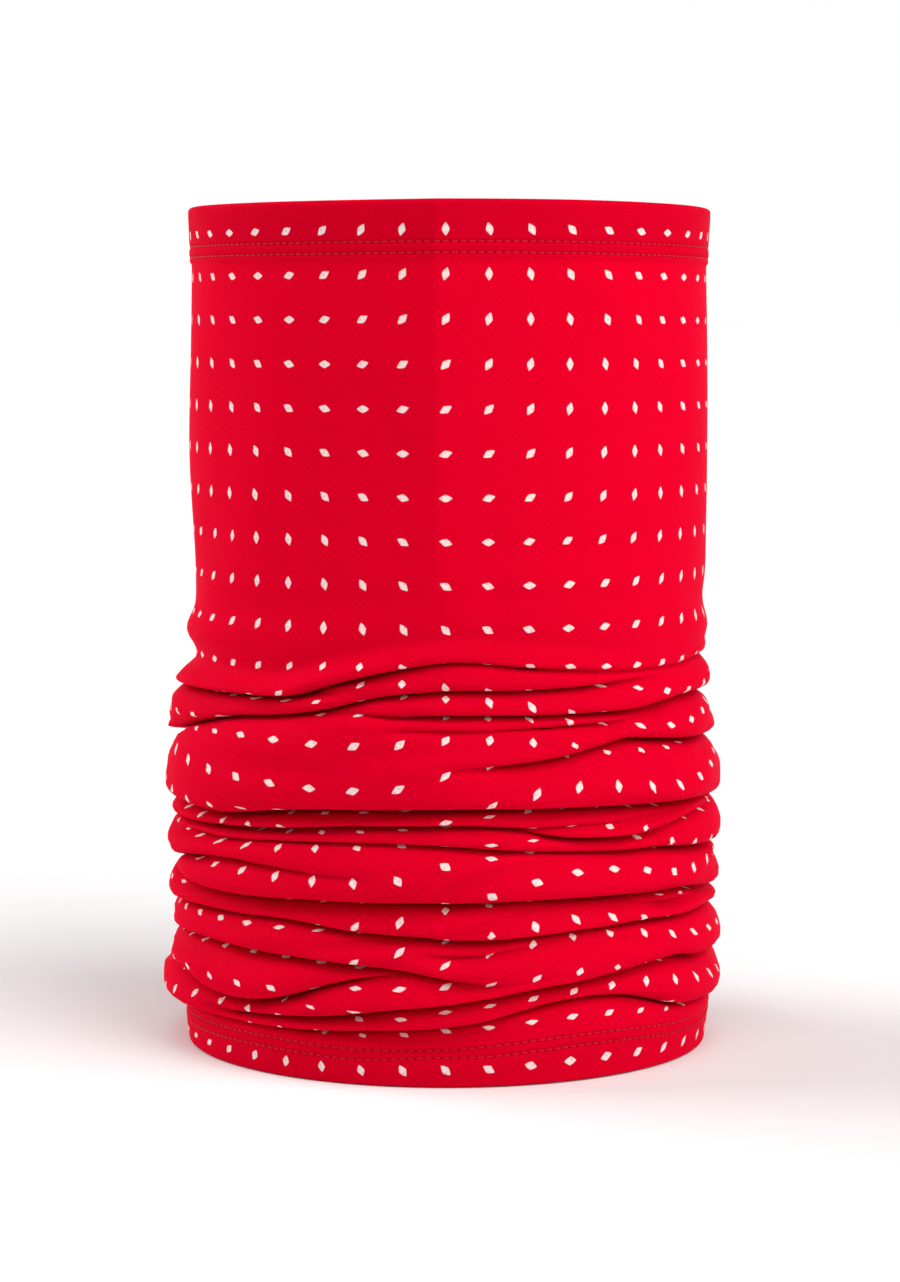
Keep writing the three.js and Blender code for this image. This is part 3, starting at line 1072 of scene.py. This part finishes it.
    def folded(self, azimuths: np.ndarray, tuck: np.ndarray) -> tuple[np.ndarray, np.ndarray]:
        """The folds' section at each azimuth, finely sampled from top to bottom.

        Args:
            azimuths: Azimuths in degrees.
            tuck: Depth of a usual crease's tuck at each of them, in millimetres.

        Returns:
            The radii and the heights of the folded cloth in millimetres, with one row for each
            azimuth.
        """
        at = azimuths[:, None]
        low = self.hem_height(at, np.full_like(at, self.hem_top))
        count = int((self.folds_top - self.hem_top) / self.fine_step)
        level = self.folds_top + (low - self.folds_top) * np.linspace(0, 1, count)[None, :]
        sunk = np.zeros_like(level)
        tucked = np.zeros_like(level)
        fall = np.zeros_like(level)
        creases = [(crease, turn) for crease in CREASES for turn in crease.turns(azimuths)]
        creases += [(POCKET, (height, self.usual_depth * share)) for height, share
                    in POCKET.turns(azimuths)]
        for crease, (height, depth) in creases:
            above = level - height[:, None]
            width = np.where(above > 0, self.valley_above, self.valley_below) * crease.spread
            power = np.where(above > 0, self.above_power, self.below_power)
            if crease is not POCKET:
                sunk += (depth[:, None] * np.exp(-((np.abs(above) / width) ** power))) ** 2
            share = crease.lip * depth[:, None] / self.usual_depth
            off = above - self.tuck_rise
            tucked += share * np.exp(-((off / self.tuck_width) ** 2))
            reach = np.abs(off) / self.lip_height
            drop = self.lip_drop * share * reach * np.exp(1 - reach)
            follow = self.ply_follows * np.exp(-((off / self.ply_reach) ** 2))
            fall += drop * np.where(off > 0, 1.0, follow)
        free = ramp(level, low, low + self.free_height)
        depth = np.sqrt(sunk) + tucked * tuck[:, None]
        radius = self.crest(at, level) - depth * free
        return radius, level - fall * free

    def fold_section(self, azimuths: np.ndarray) -> tuple[np.ndarray, np.ndarray, np.ndarray]:
        """The folds sampled to the mesh's rows, closest together where the cloth turns sharply.

        Args:
            azimuths: Azimuths in degrees.

        Returns:
            Radii, heights and lengths of cloth from the folds' top, one row for each azimuth.
        """
        round_once = (azimuths + 180) % 360 - 180
        tuck = np.interp(round_once, self.measured_at, self.tucks)
        radius, height = self.folded(round_once, tuck)
        step_r, step_z = np.diff(radius, axis=1), np.diff(height, axis=1)
        length = np.hypot(step_r, step_z)
        heading = np.unwrap(np.arctan2(step_z, step_r), axis=1)
        turning = np.abs(np.diff(heading, axis=1, append=heading[:, -1:]))
        share = np.apply_along_axis(smoothed, 1, length + self.bend_weight * turning)
        total = running_sum(share)
        total /= total[:, -1:]
        wanted = np.linspace(0, 1, self.fold_rows)
        index = np.arange(radius.shape[1], dtype=float)
        picked = np.stack([np.interp(wanted, row, index) for row in total])
        for _ in range(3):
            picked = (2 * picked + np.roll(picked, 1, axis=0) + np.roll(picked, -1, axis=0)) / 4
        lengths = running_sum(length)
        lengths = self.blend_columns(lengths / lengths[:, -1:] * self.gathered_length)
        return read_rows(picked, radius), read_rows(picked, height), read_rows(picked, lengths)

    def blend_columns(self, lengths: np.ndarray) -> np.ndarray:
        """Evens out the lengths of cloth between neighbouring columns, so that the print runs on.

        Args:
            lengths: One row of lengths for each azimuth.

        Returns:
            The evened lengths.
        """
        reach = self.print_reach
        weights = np.exp(-((np.arange(-reach, reach + 1) / self.print_spread) ** 2))
        total = sum(weight * np.roll(lengths, i - reach, axis=0) for i, weight in enumerate(weights))
        return total / weights.sum()

    def top_hem_section(self) -> tuple[np.ndarray, np.ndarray]:
        """Radii and heights from the raw edge inside, over the top edge and down to the wall.

        Returns:
            The middle of the cloth, in millimetres.
        """
        edge_row, inner_row = self.top_rows
        outer, inner = self.wall_radius + self.cloth + self.ply_gap, self.wall_radius - self.ply_gap
        turn = (outer - inner) / 2 + self.hem_gap / 2
        centre_r, centre_z = (outer + inner) / 2, self.top - self.cloth / 2 - turn
        angles = np.linspace(math.pi, 0, 9)
        inside_z = np.array([inner_row - 1, inner_row, (edge_row + inner_row) / 2, edge_row,
                             edge_row + 2.5, centre_z - 3.2, centre_z - 1.4])
        inside_r = inner - (turn - (outer - inner) / 2) * ramp(inside_z, edge_row, centre_z)
        below = np.array([1.4, 3.4, 5.4])
        stitched = np.arange(edge_row + 1.8, inner_row - 2.0, -0.4)
        outside_z = np.concatenate([centre_z - below, stitched, [inner_row - 2.8, inner_row - 4]])
        outside_r = outer + (turn - (outer - inner) / 2) * ramp(outside_z, edge_row, centre_z)
        back_to_wall = (outer - self.wall_radius) * ramp(outside_z, inner_row - 0.6, inner_row - 2.2)
        outside_r = outside_r - self.pits(outside_z, self.top_rows) - back_to_wall
        radii = np.concatenate([inside_r, centre_r + turn * np.cos(angles), outside_r])
        heights = np.concatenate([inside_z, centre_z + turn * np.sin(angles), outside_z])
        return radii, heights

    def bottom_hem_section(self, azimuths: np.ndarray) -> tuple[np.ndarray, np.ndarray, np.ndarray]:
        """The lower hem from the folds down the outer ply, under, and up to the raw edge.

        Args:
            azimuths: Azimuths in degrees.

        Returns:
            Radii and heights with one row for each azimuth, and heights on a level hem, all of
            the middle of the cloth.
        """
        at = azimuths[:, None]
        edge_row, inner_row = self.bottom_rows
        turn = self.hem_turn
        centre = self.cloth / 2 + turn + self.floor_gap
        angles = np.linspace(0, -math.pi, 7)
        stitched = np.arange(self.hem_top - 0.3, edge_row - 1.4, -0.4)
        outside = np.concatenate([stitched, [6.2, 4.6, 3.2, 2.2]])
        inside = np.array([2.4, 4.5, edge_row, (edge_row + inner_row) / 2, inner_row, inner_row + 1])
        outside_r = self.hem_radius(at, outside[None, :]) - self.pits(outside, self.bottom_rows)
        centre_r = self.hem_radius(at, np.full_like(at, centre)) - turn
        closing = (2 * turn - self.cloth - self.ply_gap) * ramp(inside, centre, edge_row)
        inside_r = self.hem_radius(at, inside[None, :]) - 2 * turn + closing
        radii = np.concatenate([outside_r, centre_r + turn * np.cos(angles), inside_r], axis=1)
        level = np.concatenate([outside, centre + turn * np.sin(angles), inside])
        return radii + self.billow(at, level), self.hem_height(at, level[None, :]), level

    def pits(self, heights: np.ndarray, rows: tuple[float, float]) -> np.ndarray:
        """How deep the two rows of stitches pull into the cloth.

        Args:
            heights: Heights in millimetres.
            rows: The rows' heights.

        Returns:
            Depths in millimetres.
        """
        return sum(self.row_pit * np.exp(-(((heights - row) / 0.55) ** 2)) for row in rows)

    def sections(self, azimuths: np.ndarray) -> tuple[np.ndarray, np.ndarray, np.ndarray]:
        """The whole tube's section at each azimuth, from raw edge to raw edge.

        Args:
            azimuths: Azimuths in degrees.

        Returns:
            Radii, heights and lengths of cloth below the top edge, in millimetres. The lengths
            are the same at every azimuth but inside the folds.
        """
        at = azimuths[:, None]
        top_r, top_z = self.top_hem_section()
        slack_z = self.folds_top + self.slack
        taut_z = np.linspace(top_z[-1], slack_z, self.wall_rows + 1)[1:]
        soft_z = np.linspace(slack_z, self.folds_top, self.slack_rows + 2)[1:-1]
        fold_r, fold_z, fold_l = self.fold_section(azimuths)
        low_r, low_z, low_level = self.bottom_hem_section(azimuths)

        smooth_z = np.concatenate([top_z, taut_z, soft_z])
        plain_r = np.append(top_r, np.full(self.wall_rows + self.slack_rows, self.wall_radius))
        upper_l = self.lengths_below(np.append(smooth_z, self.folds_top))
        *smooth_l, folds_start = upper_l
        fold_l = folds_start + fold_l
        steps = np.abs(np.diff(low_level, prepend=self.hem_top)) + 0.25 * (low_level < 2.2)
        low_l = folds_start + self.gathered_length + np.cumsum(steps)
        ripple = sum(wave.at(at, fold_l) for wave in WRINKLES)
        ripple = ripple * (0.75 + PATCHES.at(at, fold_l))
        ripple = ripple * ramp(fold_z, self.folds_top, 112) * ramp(fold_z, 14, 24)
        smooth_r = plain_r + self.billow(at, smooth_z[None, :])
        radii = np.concatenate([smooth_r, fold_r + ripple, low_r], axis=1)
        heights = np.concatenate([every(azimuths, smooth_z), fold_z, low_z], axis=1)
        heights = heights + self.rim_rise(at) * ramp(heights, 190, 240)
        lengths = np.concatenate([every(azimuths, smooth_l), fold_l, every(azimuths, low_l)], axis=1)
        return radii, heights, lengths

    def rim_rise(self, azimuths: np.ndarray) -> np.ndarray:
        """How far the top edge stands above its level, which it does towards the front.

        Args:
            azimuths: Azimuths in degrees.

        Returns:
            Heights in millimetres.
        """
        turned = np.radians(azimuths)
        return 0.55 * np.cos(turned + 0.15) + 0.15 * np.sin(3 * turned + 0.6)

    def lengths_below(self, heights: np.ndarray) -> np.ndarray:
        """Lengths of cloth below the top edge, taken as heights; negative on the turned ply.

        Args:
            heights: Heights from the inner raw edge, over the top edge and down the wall.

        Returns:
            Lengths in millimetres.
        """
        peak = int(np.argmax(heights))
        below = self.top - heights
        return np.concatenate([-below[:peak], below[peak:]])

    def build(self) -> bpy.types.Object:
        """Builds the cloth, with its panel coordinates as its UV map and its real thickness.

        Returns:
            The finished cloth, whose wrong side has a material of its own.
        """
        azimuths = self.azimuths()
        radii, heights, lengths = self.sections(azimuths)
        columns, rows = radii.shape
        angle = np.radians(azimuths)[:, None]
        points = np.stack([radii * np.sin(angle), -radii * np.cos(angle), heights], axis=2)
        number = np.arange(columns * rows).reshape(columns, rows)
        following = np.roll(number, -1, axis=0)
        quads = np.stack([number[:, :-1], number[:, 1:], following[:, 1:], following[:, :-1]],
                         axis=2).reshape(-1, 4)
        cloth = new_piece("knit_tube", points.reshape(-1, 3), quads.tolist())

        across = np.append(azimuths, 180.0) * self.wall_radius * math.pi / 180
        left, right = across[:-1, None], across[1:, None]
        after = np.roll(lengths, -1, axis=0)
        wide = np.ones((1, rows - 1))
        corners = [(left * wide, lengths[:, :-1]), (left * wide, lengths[:, 1:]),
                   (right * wide, after[:, 1:]), (right * wide, after[:, :-1])]
        panel = np.stack([np.stack([u, -v], axis=2) for u, v in corners], axis=2)
        layer = cloth.data.uv_layers.new(name="panel")
        layer.data.foreach_set("uv", (panel * MM).reshape(-1).astype(np.float32))

        self.cloth_length = float(lengths[0, -1] - lengths[0, 0])
        hem = self.finished_length
        sewn = (*(self.top - row for row in self.top_rows), *(hem - row for row in self.bottom_rows))
        stitch = 2 * math.pi * self.wall_radius / round(2 * math.pi * self.wall_radius / self.stitch)
        cloth.data.materials.append(
            KnitFinish(name="red_knit_printed", sewn_rows=sewn, hems=(sewn[1], sewn[3]),
                       stitch=stitch).material())
        cloth.data.materials.append(
            KnitFinish(name="red_knit_wrong_side", printed=False, lit=(0.60, 0.0015, 0.02)).material())
        apply_modifier(cloth, "SOLIDIFY", thickness=self.cloth * MM, offset=0.0,
                       use_even_offset=False, use_rim=True, material_offset=1,
                       material_offset_rim=1)
        cloth.data.shade_smooth()
        self.fixed_end * MM
        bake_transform(cloth)
        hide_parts("upper_panel", "gathered_panel", "bottom_hem")
        return cloth

    def line_on_cloth(self, azimuths: np.ndarray, side: Side) -> tuple[np.ndarray, np.ndarray]:
        """The face of the cloth, from the top edge down, at a few azimuths close together.

        Args:
            azimuths: Azimuths in degrees.
            side: Which face.

        Returns:
            Radii and heights in millimetres, with one row for each azimuth.
        """
        radii, heights, lengths = self.sections(azimuths)
        first = int(np.argmax(lengths[0] >= self.seam_inset))
        last = int(np.argmax((lengths[0] > self.gathered_length) & (heights[0] < self.seam_foot)))
        radii, heights = radii[:, first:last], heights[:, first:last]
        run_r, run_z = np.gradient(radii, axis=1), np.gradient(heights, axis=1)
        size = np.hypot(run_r, run_z)
        half = side.value * self.cloth / 2
        return radii - run_z / size * half, heights + run_r / size * half


# ---------------------------------------------------------------------------------------------
# Stitching

Place = Callable[[np.ndarray], np.ndarray]


@dataclass(frozen=True)
class Stitch:
    """One stitch, modelled once and laid again and again.

    Its points are in millimetres: x runs along the row, y across it and z out of the cloth.

    Attributes:
        points: One row of x, y and z for each vertex.
        faces: The vertex numbers of each face.
    """

    points: np.ndarray
    faces: list[list[int]]

    @classmethod
    def along(cls, route: Sequence[tuple[float, float, float]], thread: float = 0.18,
              sides: int = 6) -> "Stitch":
        """Models a stitch by drawing a round section from point to point.

        Args:
            route: The points that the thread follows.
            thread: Radius of the thread.
            sides: Sides of its section.

        Returns:
            The stitch.
        """
        deselect_all()
        first, *rest = (Vector(point) for point in route)
        bpy.ops.mesh.primitive_circle_add(vertices=sides, radius=thread, fill_type="NGON",
                                          location=first, rotation=(0, math.pi / 2, 0))
        piece = bpy.context.object
        bpy.ops.object.transform_apply(location=True, rotation=True, scale=True)
        bpy.ops.object.mode_set(mode="EDIT")
        for point in rest:
            bpy.ops.mesh.extrude_region_move(TRANSFORM_OT_translate={"value": point - first})
            first = point
        bpy.ops.mesh.select_all(action="SELECT")
        bpy.ops.mesh.normals_make_consistent(inside=False)
        bpy.ops.object.mode_set(mode="OBJECT")
        points = np.array([vertex.co for vertex in piece.data.vertices], float)
        faces = [list(face.vertices) for face in piece.data.polygons]
        bpy.data.objects.remove(piece)
        return cls(points, faces)

    def lay(self, name: str, starts: np.ndarray, place: Place) -> bpy.types.Object:
        """Lays a copy of the stitch at each start, and joins them into one piece.

        Args:
            name: The piece's name.
            starts: How far along the row each copy begins.
            place: Turns points along, across and out of the row into points of the model.

        Returns:
            The stitched row.
        """
        run = self.points[None, :, :] + np.stack([starts, 0 * starts, 0 * starts], axis=1)[:, None, :]
        count = len(self.points)
        faces = [[i * count + v for v in face] for i in range(len(starts)) for face in self.faces]
        return new_piece(name, place(run.reshape(-1, 3)), faces)


def needle_stitch(length: float) -> Stitch:
    """A straight stitch that dips into the cloth at both ends."""
    return Stitch.along([(0.0, 0, -0.35), (0.14 * length, 0, -0.02), (0.4 * length, 0, 0.16),
                         (0.7 * length, 0, 0.14), (0.9 * length, 0, -0.06), (length, 0, -0.38)])


def zigzag_stitch(length: float, width: float) -> Stitch:
    """One swing of a looper thread across a seam and back."""
    half = width / 2
    return Stitch.along([(0.0, -half, 0.05), (0.12 * length, -half * 0.94, 0.16),
                         (0.42 * length, half * 0.9, 0.18), (0.5 * length, half, 0.08),
                         (0.62 * length, half * 0.94, 0.16), (0.92 * length, -half * 0.9, 0.18),
                         (length, -half, 0.05)], thread=0.16)


class Hem(Enum):
    """Which of the tube's two hems, by the start of its nodes' names."""

    TOP = "top_hem"
    BOTTOM = "bottom_hem"


@dataclass
class Coverstitch:
    """The two needle rows and the looper thread that hold one hem.

    Attributes:
        tube: The cloth that it is sewn through.
        hem: Which hem.
    """

    tube: GatheredTube
    hem: Hem

    def surface(self, azimuths: np.ndarray, level: np.ndarray,
                side: Side) -> tuple[np.ndarray, np.ndarray]:
        """The hem's outer or inner face.

        Args:
            azimuths: Azimuths in degrees.
            level: Heights on a level hem, in millimetres.
            side: Which face.

        Returns:
            Radii and heights in millimetres.
        """
        tube = self.tube
        half = tube.cloth / 2
        if self.hem is Hem.TOP:
            plies = {Side.OUTSIDE: tube.wall_radius + tube.cloth + tube.ply_gap - tube.row_pit,
                     Side.INSIDE: tube.wall_radius - tube.ply_gap}
            radii = plies[side] + side.value * half + tube.billow(azimuths, level)
            return radii, level + tube.rim_rise(azimuths)
        middle = tube.hem_radius(azimuths, level) + tube.billow(azimuths, level)
        out = half - tube.row_pit if side is Side.OUTSIDE else -tube.cloth - tube.ply_gap - half
        return middle + out, tube.hem_height(azimuths, level)

    def place(self, level: float, side: Side) -> Place:
        """How the points of a stitch come to lie round the hem.

        Args:
            level: Height of the row's middle on a level hem, in millimetres.
            side: Which face the thread lies on.

        Returns:
            The placing, for Stitch.lay.
        """
        def on_hem(points: np.ndarray) -> np.ndarray:
            """Wraps points round the hem.

            Args:
                points: One row of distances along, across and out of the row of stitches.

            Returns:
                One row of x, y and z for each point.
            """
            angle = points[:, 0] / self.tube.wall_radius
            azimuths = (np.degrees(angle) + 180) % 360 - 180
            radii, heights = self.surface(azimuths, level + points[:, 1], side)
            radii = radii + side.value * points[:, 2]
            return np.stack([radii * np.sin(angle), -radii * np.cos(angle), heights], axis=1)
        return on_hem

    def build(self) -> list[bpy.types.Object]:
        """Sews both needle rows and the looper thread.

        Returns:
            The three threads.
        """
        edge, inner = self.tube.top_rows if self.hem is Hem.TOP else self.tube.bottom_rows
        girth = 2 * math.pi * self.tube.wall_radius
        count = round(girth / self.tube.stitch)
        pitch = girth / count
        starts = np.arange(count) * pitch
        rows = {"edge_needle": edge, "inner_needle": inner}
        threads = [needle_stitch(pitch).lay(f"{self.hem.value}_{row}_stitches", starts,
                                            self.place(level, Side.OUTSIDE))
                   for row, level in rows.items()]
        swing = zigzag_stitch(pitch, abs(edge - inner))
        threads.append(swing.lay(f"{self.hem.value}_looper_stitches", starts,
                                 self.place((edge + inner) / 2, Side.INSIDE)))
        body = UPPER if self.hem is Hem.TOP else LOWER
        for thread, part in zip(threads, [*rows, "looper"]):
            thread.data.materials.append(bpy.data.materials[THREAD_MATERIAL])
            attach(thread, body)
            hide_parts(f"{self.hem.value}_{part}_thread")
        return threads


@dataclass
class FlatlockSeam:
    """The four threads of the seam down the back.

    Attributes:
        tube: The cloth that it is sewn through.
        reach: How far either side of the seam its strip is worked out, in degrees.
        columns: Azimuths at which it is worked out.
        needle_lift: How far the needle threads stand off the cloth, in millimetres.
        cover_share: Width of the cover thread's swing, as a share of the seam's.
    """

    tube: GatheredTube
    reach: float = 2.4
    columns: int = 9
    needle_lift: float = 0.12
    cover_share: float = 0.94

    def __post_init__(self) -> None:
        """Takes the width between the needle rows from the frame."""
        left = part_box("upper_seam_left_needle_thread")
        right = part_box("upper_seam_right_needle_thread")
        self.width = abs(right[0].x + right[1].x - left[0].x - left[1].x) / 2 / MM
        self.left_sign = 1 if left[0].x > right[0].x else -1

    def place(self, side: Side) -> tuple[Place, float]:
        """How the points of a stitch come to lie down the back of the cloth.

        Args:
            side: Which face the thread lies on.

        Returns:
            The placing, for Stitch.lay, and the length of the seam in millimetres.
        """
        azimuths = np.linspace(180 - self.reach, 180 + self.reach, self.columns)
        radii, heights = self.tube.line_on_cloth(azimuths, side)
        middle = self.columns // 2
        steps = np.hypot(np.diff(radii[middle]), np.diff(heights[middle]))
        lengths = np.concatenate([[0.0], np.cumsum(steps)])
        run_r, run_z = np.gradient(radii, axis=1), np.gradient(heights, axis=1)
        size = np.hypot(run_r, run_z)
        out_r, out_z = -run_z / size, run_r / size

        def on_seam(points: np.ndarray) -> np.ndarray:
            """Lays points down the seam.

            Args:
                points: One row of distances along, across and out of the seam.

            Returns:
                One row of x, y and z for each point.
            """
            turned = np.degrees(points[:, 1] / self.tube.wall_radius)
            column = (turned + self.reach) / (2 * self.reach) * (self.columns - 1)
            column = np.clip(column, 0, self.columns - 1.001)
            base = column.astype(int)
            share = column - base

            def pick(table: np.ndarray) -> np.ndarray:
                """Reads a table of the strip at each point.

                Args:
                    table: One row for each of the strip's azimuths.

                Returns:
                    One number for each point.
                """
                columns = np.stack([np.interp(points[:, 0], lengths, row) for row in table])
                at = np.arange(len(points))
                return columns[base, at] * (1 - share) + columns[base + 1, at] * share

            lift = side.value * points[:, 2]
            radius = pick(radii) + pick(out_r) * lift
            height = pick(heights) + pick(out_z) * lift
            angle = np.radians(180 + turned)
            return np.stack([radius * np.sin(angle), -radius * np.cos(angle), height], axis=1)
        return on_seam, float(lengths[-1])

    def build(self) -> list[bpy.types.Object]:
        """Sews the two needle rows, the cover thread outside and the looper thread inside.

        Returns:
            The four threads.
        """
        outside, length = self.place(Side.OUTSIDE)
        inside, inner_length = self.place(Side.INSIDE)
        starts = np.arange(0, length - self.tube.stitch, self.tube.stitch)
        inner_starts = np.arange(0, inner_length - self.tube.stitch, self.tube.stitch)
        straight = needle_stitch(self.tube.stitch)
        half = self.width / 2 * self.left_sign
        threads = {}
        for name, shift in (("left_needle", -half), ("right_needle", half)):
            moved = Stitch(straight.points + [0, shift, self.needle_lift], straight.faces)
            threads[name] = moved.lay(f"back_seam_{name}_stitches", starts, outside)
        cover = zigzag_stitch(self.tube.stitch, self.width * self.cover_share)
        threads["cover"] = cover.lay("back_seam_cover_stitches", starts, outside)
        looper = zigzag_stitch(self.tube.stitch, self.width)
        threads["looper"] = looper.lay("back_seam_looper_stitches", inner_starts, inside)
        start = (0, 0, self.tube.fixed_end * MM)
        for name, thread in threads.items():
            thread.data.materials.append(bpy.data.materials[THREAD_MATERIAL])
            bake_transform(thread)
            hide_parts(f"upper_seam_{name}_thread", f"gathered_seam_{name}_thread")
        return list(threads.values())


@dataclass
class CareLabel:
    """The blank folded ribbon inside the back, and the stitches that tack it.

    Attributes:
        ply: Thickness of the ribbon, in millimetres.
        curl: How far the label's middle stands off the wall it curves with.
        steps: Lengths that its front is divided into.
    """

    ply: float = 0.3
    curl: float = 1.1
    steps: int = 14

    def build(self) -> list[bpy.types.Object]:
        """Makes the label and its tack.

        Returns:
            The label and the tack thread.
        """
        low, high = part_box("care_label")
        width, length = (high.x - low.x) / MM, (high.z - low.z) / MM
        front, back = low.y / MM, high.y / MM
        top, foot = high.z / MM, low.z / MM
        label = self.ribbon(width, front + self.ply / 2, back - self.ply / 2, top, foot)
        label.data.materials.append(SatinFinish().material())
        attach(label, UPPER)
        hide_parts("care_label")
        tack = self.tack()
        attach(tack, UPPER)
        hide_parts("care_label_tack_thread")
        return [label, tack]

    def ribbon(self, width: float, front: float, back: float, top: float,
               foot: float) -> bpy.types.Object:
        """The ribbon, folded at its foot, with both plies curved with the wall behind it.

        Args:
            width: Width of the ribbon.
            front: Y of the front ply.
            back: Y of the back ply.
            top: Height of its upper end.
            foot: Height of its fold.

        Returns:
            The finished ribbon.
        """
        turn = (back - front) / 2
        angles = np.linspace(0, math.pi, 7)
        down = np.linspace(top, foot + turn + self.ply / 2, self.steps)
        y = np.concatenate([np.full(self.steps - 1, back), (front + back) / 2 + turn * np.cos(angles),
                            np.full(self.steps - 1, front)])
        z = np.concatenate([down[:-1], down[-1] - turn * np.sin(angles), down[-2::-1]])
        across = np.linspace(-width / 2, width / 2, 17)
        share = (across / (width / 2))[:, None]
        bow = self.curl * (share ** 2)
        hang = ramp(z, top, foot)[None, :]
        front_ply = (np.arange(len(y)) >= self.steps + 2)[None, :]
        wave = 0.25 * np.sin(z / 6.0 + 1.0)[None, :] * hang
        ys = y[None, :] - bow - wave - 0.5 * hang * (0.4 + 0.6 * front_ply * (1 - share ** 2))
        points = np.stack([np.broadcast_to(across[:, None], ys.shape), ys,
                           np.broadcast_to(z[None, :], ys.shape)], axis=2)
        columns, rows = ys.shape
        number = np.arange(columns * rows).reshape(columns, rows)
        quads = np.stack([number[:-1, :-1], number[1:, :-1], number[1:, 1:], number[:-1, 1:]], axis=2)
        label = new_piece("care_label_ribbon", points.reshape(-1, 3), quads.reshape(-1, 4).tolist())
        apply_modifier(label, "SOLIDIFY", thickness=self.ply * MM, offset=0.0)
        apply_modifier(label, "SUBSURF", levels=1, render_levels=1)
        label.data.shade_smooth()
        return label

    def tack(self) -> bpy.types.Object:
        """The row of stitches that holds the label's upper end.

        Returns:
            The tack thread.
        """
        low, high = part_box("care_label_tack_thread")
        label_low, label_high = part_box("care_label")
        centre_z = (low.z + high.z) / 2 / MM
        front = label_low.y / MM
        half = (label_high.x - label_low.x) / 2 / MM
        reach = (high.x - low.x) / 2 / MM
        count = round(2 * reach / 2.2)
        pitch = 2 * reach / count

        def on_label(points: np.ndarray) -> np.ndarray:
            """Lays points across the label's front ply.

            Args:
                points: One row of distances along, across and out of the tack.

            Returns:
                One row of x, y and z for each point.
            """
            bow = self.curl * (points[:, 0] / half) ** 2
            return np.stack([points[:, 0], front - bow - points[:, 2], centre_z + points[:, 1]], axis=1)

        tack = needle_stitch(pitch * 0.92).lay("care_label_tack_stitches",
                                               np.arange(count) * pitch - reach, on_label)
        tack.data.materials.append(bpy.data.materials[THREAD_MATERIAL])
        return tack


# ---------------------------------------------------------------------------------------------
# The studio


@dataclass(frozen=True)
class SoftLight:
    """A distant soft light.

    Attributes:
        name: The light's name.
        azimuth: Where it stands, in degrees from the front towards +X.
        elevation: How high it stands, in degrees.
        power: What it throws on a surface, as a share of an all-white room's light.
        softness: How wide it looks, in degrees.
    """

    name: str
    azimuth: float
    elevation: float
    power: float
    softness: float

    def hang(self) -> None:
        """Adds the light to the scene."""
        lamp = bpy.data.lights.new(self.name, "SUN")
        lamp.energy = self.power * math.pi
        lamp.angle = math.radians(self.softness)
        holder = bpy.data.objects.new(self.name, lamp)
        holder.rotation_euler = (math.radians(90 - self.elevation), 0, math.radians(self.azimuth))
        bpy.context.scene.collection.objects.link(holder)


LIGHTS = (
    SoftLight("key_light", 52, 33, 0.82, 60),
    SoftLight("overhead_light", 8, 64, 0.36, 45),
    SoftLight("left_rim_light", -106, 30, 0.74, 50),
)


@dataclass
class Studio:
    """The pale floor, the soft lights and the camera.

    Attributes:
        camera_back: Distance of the camera in front of the tube's axis, in metres.
        camera_height: Height of the camera.
        camera_dip: How far it looks down, in degrees.
        lens: Focal length in millimetres on a 36 mm frame.
        bright_below: Upward slope of a direction up to which the room is fully bright.
        dim_above: Slope from which it is dim.
        dim: How bright it is there.
    """

    camera_back: float = 1.079
    camera_height: float = 0.2233
    camera_dip: float = 5.3
    lens: float = 98.26
    bright_below: float = 0.16
    dim_above: float = 0.30
    dim: float = 0.15

    def build(self) -> None:
        """Sets up the floor, the lights, the surroundings and the camera."""
        self.floor()
        for light in LIGHTS:
            light.hang()
        self.surroundings()
        self.camera()
        bpy.context.scene.view_settings.view_transform = "Standard"

    def floor(self) -> None:
        """Lays the floor."""
        deselect_all()
        bpy.ops.mesh.primitive_plane_add(size=120)
        floor = bpy.context.object
        floor.name = "studio_floor"
        floor.data.materials.append(FloorFinish().material())

    def surroundings(self) -> None:
        """Fills the room with white light, which is brightest near the horizon."""
        world = bpy.data.worlds.new("studio_room")
        world.use_nodes = True
        tree = world.node_tree
        direction = tree.nodes.new("ShaderNodeTexCoord")
        parts = tree.nodes.new("ShaderNodeSeparateXYZ")
        glow = tree.nodes.new("ShaderNodeMapRange")
        glow.interpolation_type = "SMOOTHSTEP"
        glow.inputs["From Min"].default_value = self.bright_below
        glow.inputs["From Max"].default_value = self.dim_above
        glow.inputs["To Min"].default_value = 1.0
        glow.inputs["To Max"].default_value = self.dim
        background = tree.nodes["Background"]
        background.inputs["Color"].default_value = (1.0, 1.0, 1.0, 1.0)
        tree.links.new(direction.outputs["Generated"], parts.inputs["Vector"])
        tree.links.new(parts.outputs["Z"], glow.inputs["Value"])
        tree.links.new(glow.outputs["Result"], background.inputs["Strength"])
        bpy.context.scene.world = world

    def camera(self) -> None:
        """Sets the camera in front, looking slightly down."""
        lens = bpy.data.cameras.new("front_camera")
        lens.sensor_width = 36
        lens.lens = self.lens
        holder = bpy.data.objects.new("front_camera", lens)
        holder.location = (0, -self.camera_back, self.camera_height)
        holder.rotation_euler = (math.radians(90 - self.camera_dip), 0, 0)
        bpy.context.scene.collection.objects.link(holder)
        bpy.context.scene.camera = holder


def report(pieces: list[bpy.types.Object]) -> None:
    """Logs each finished piece with its number of faces."""
    for piece in pieces:
        LOG.info("%s: %d faces", piece.name, len(piece.data.polygons))


def main() -> None:
    """Builds the neck gaiter and the studio round it."""
    logging.basicConfig(level=logging.INFO, format="%(message)s")
    ThreadFinish().material()
    tube = GatheredTube()
    report([tube.build()])
    LOG.info("length of the cloth: %.1f mm", tube.cloth_length)
    for hem in Hem:
        report(Coverstitch(tube, hem).build())
    report(FlatlockSeam(tube).build())
    report(CareLabel().build())
    Studio().build()


if __name__ == "__main__":
    main()
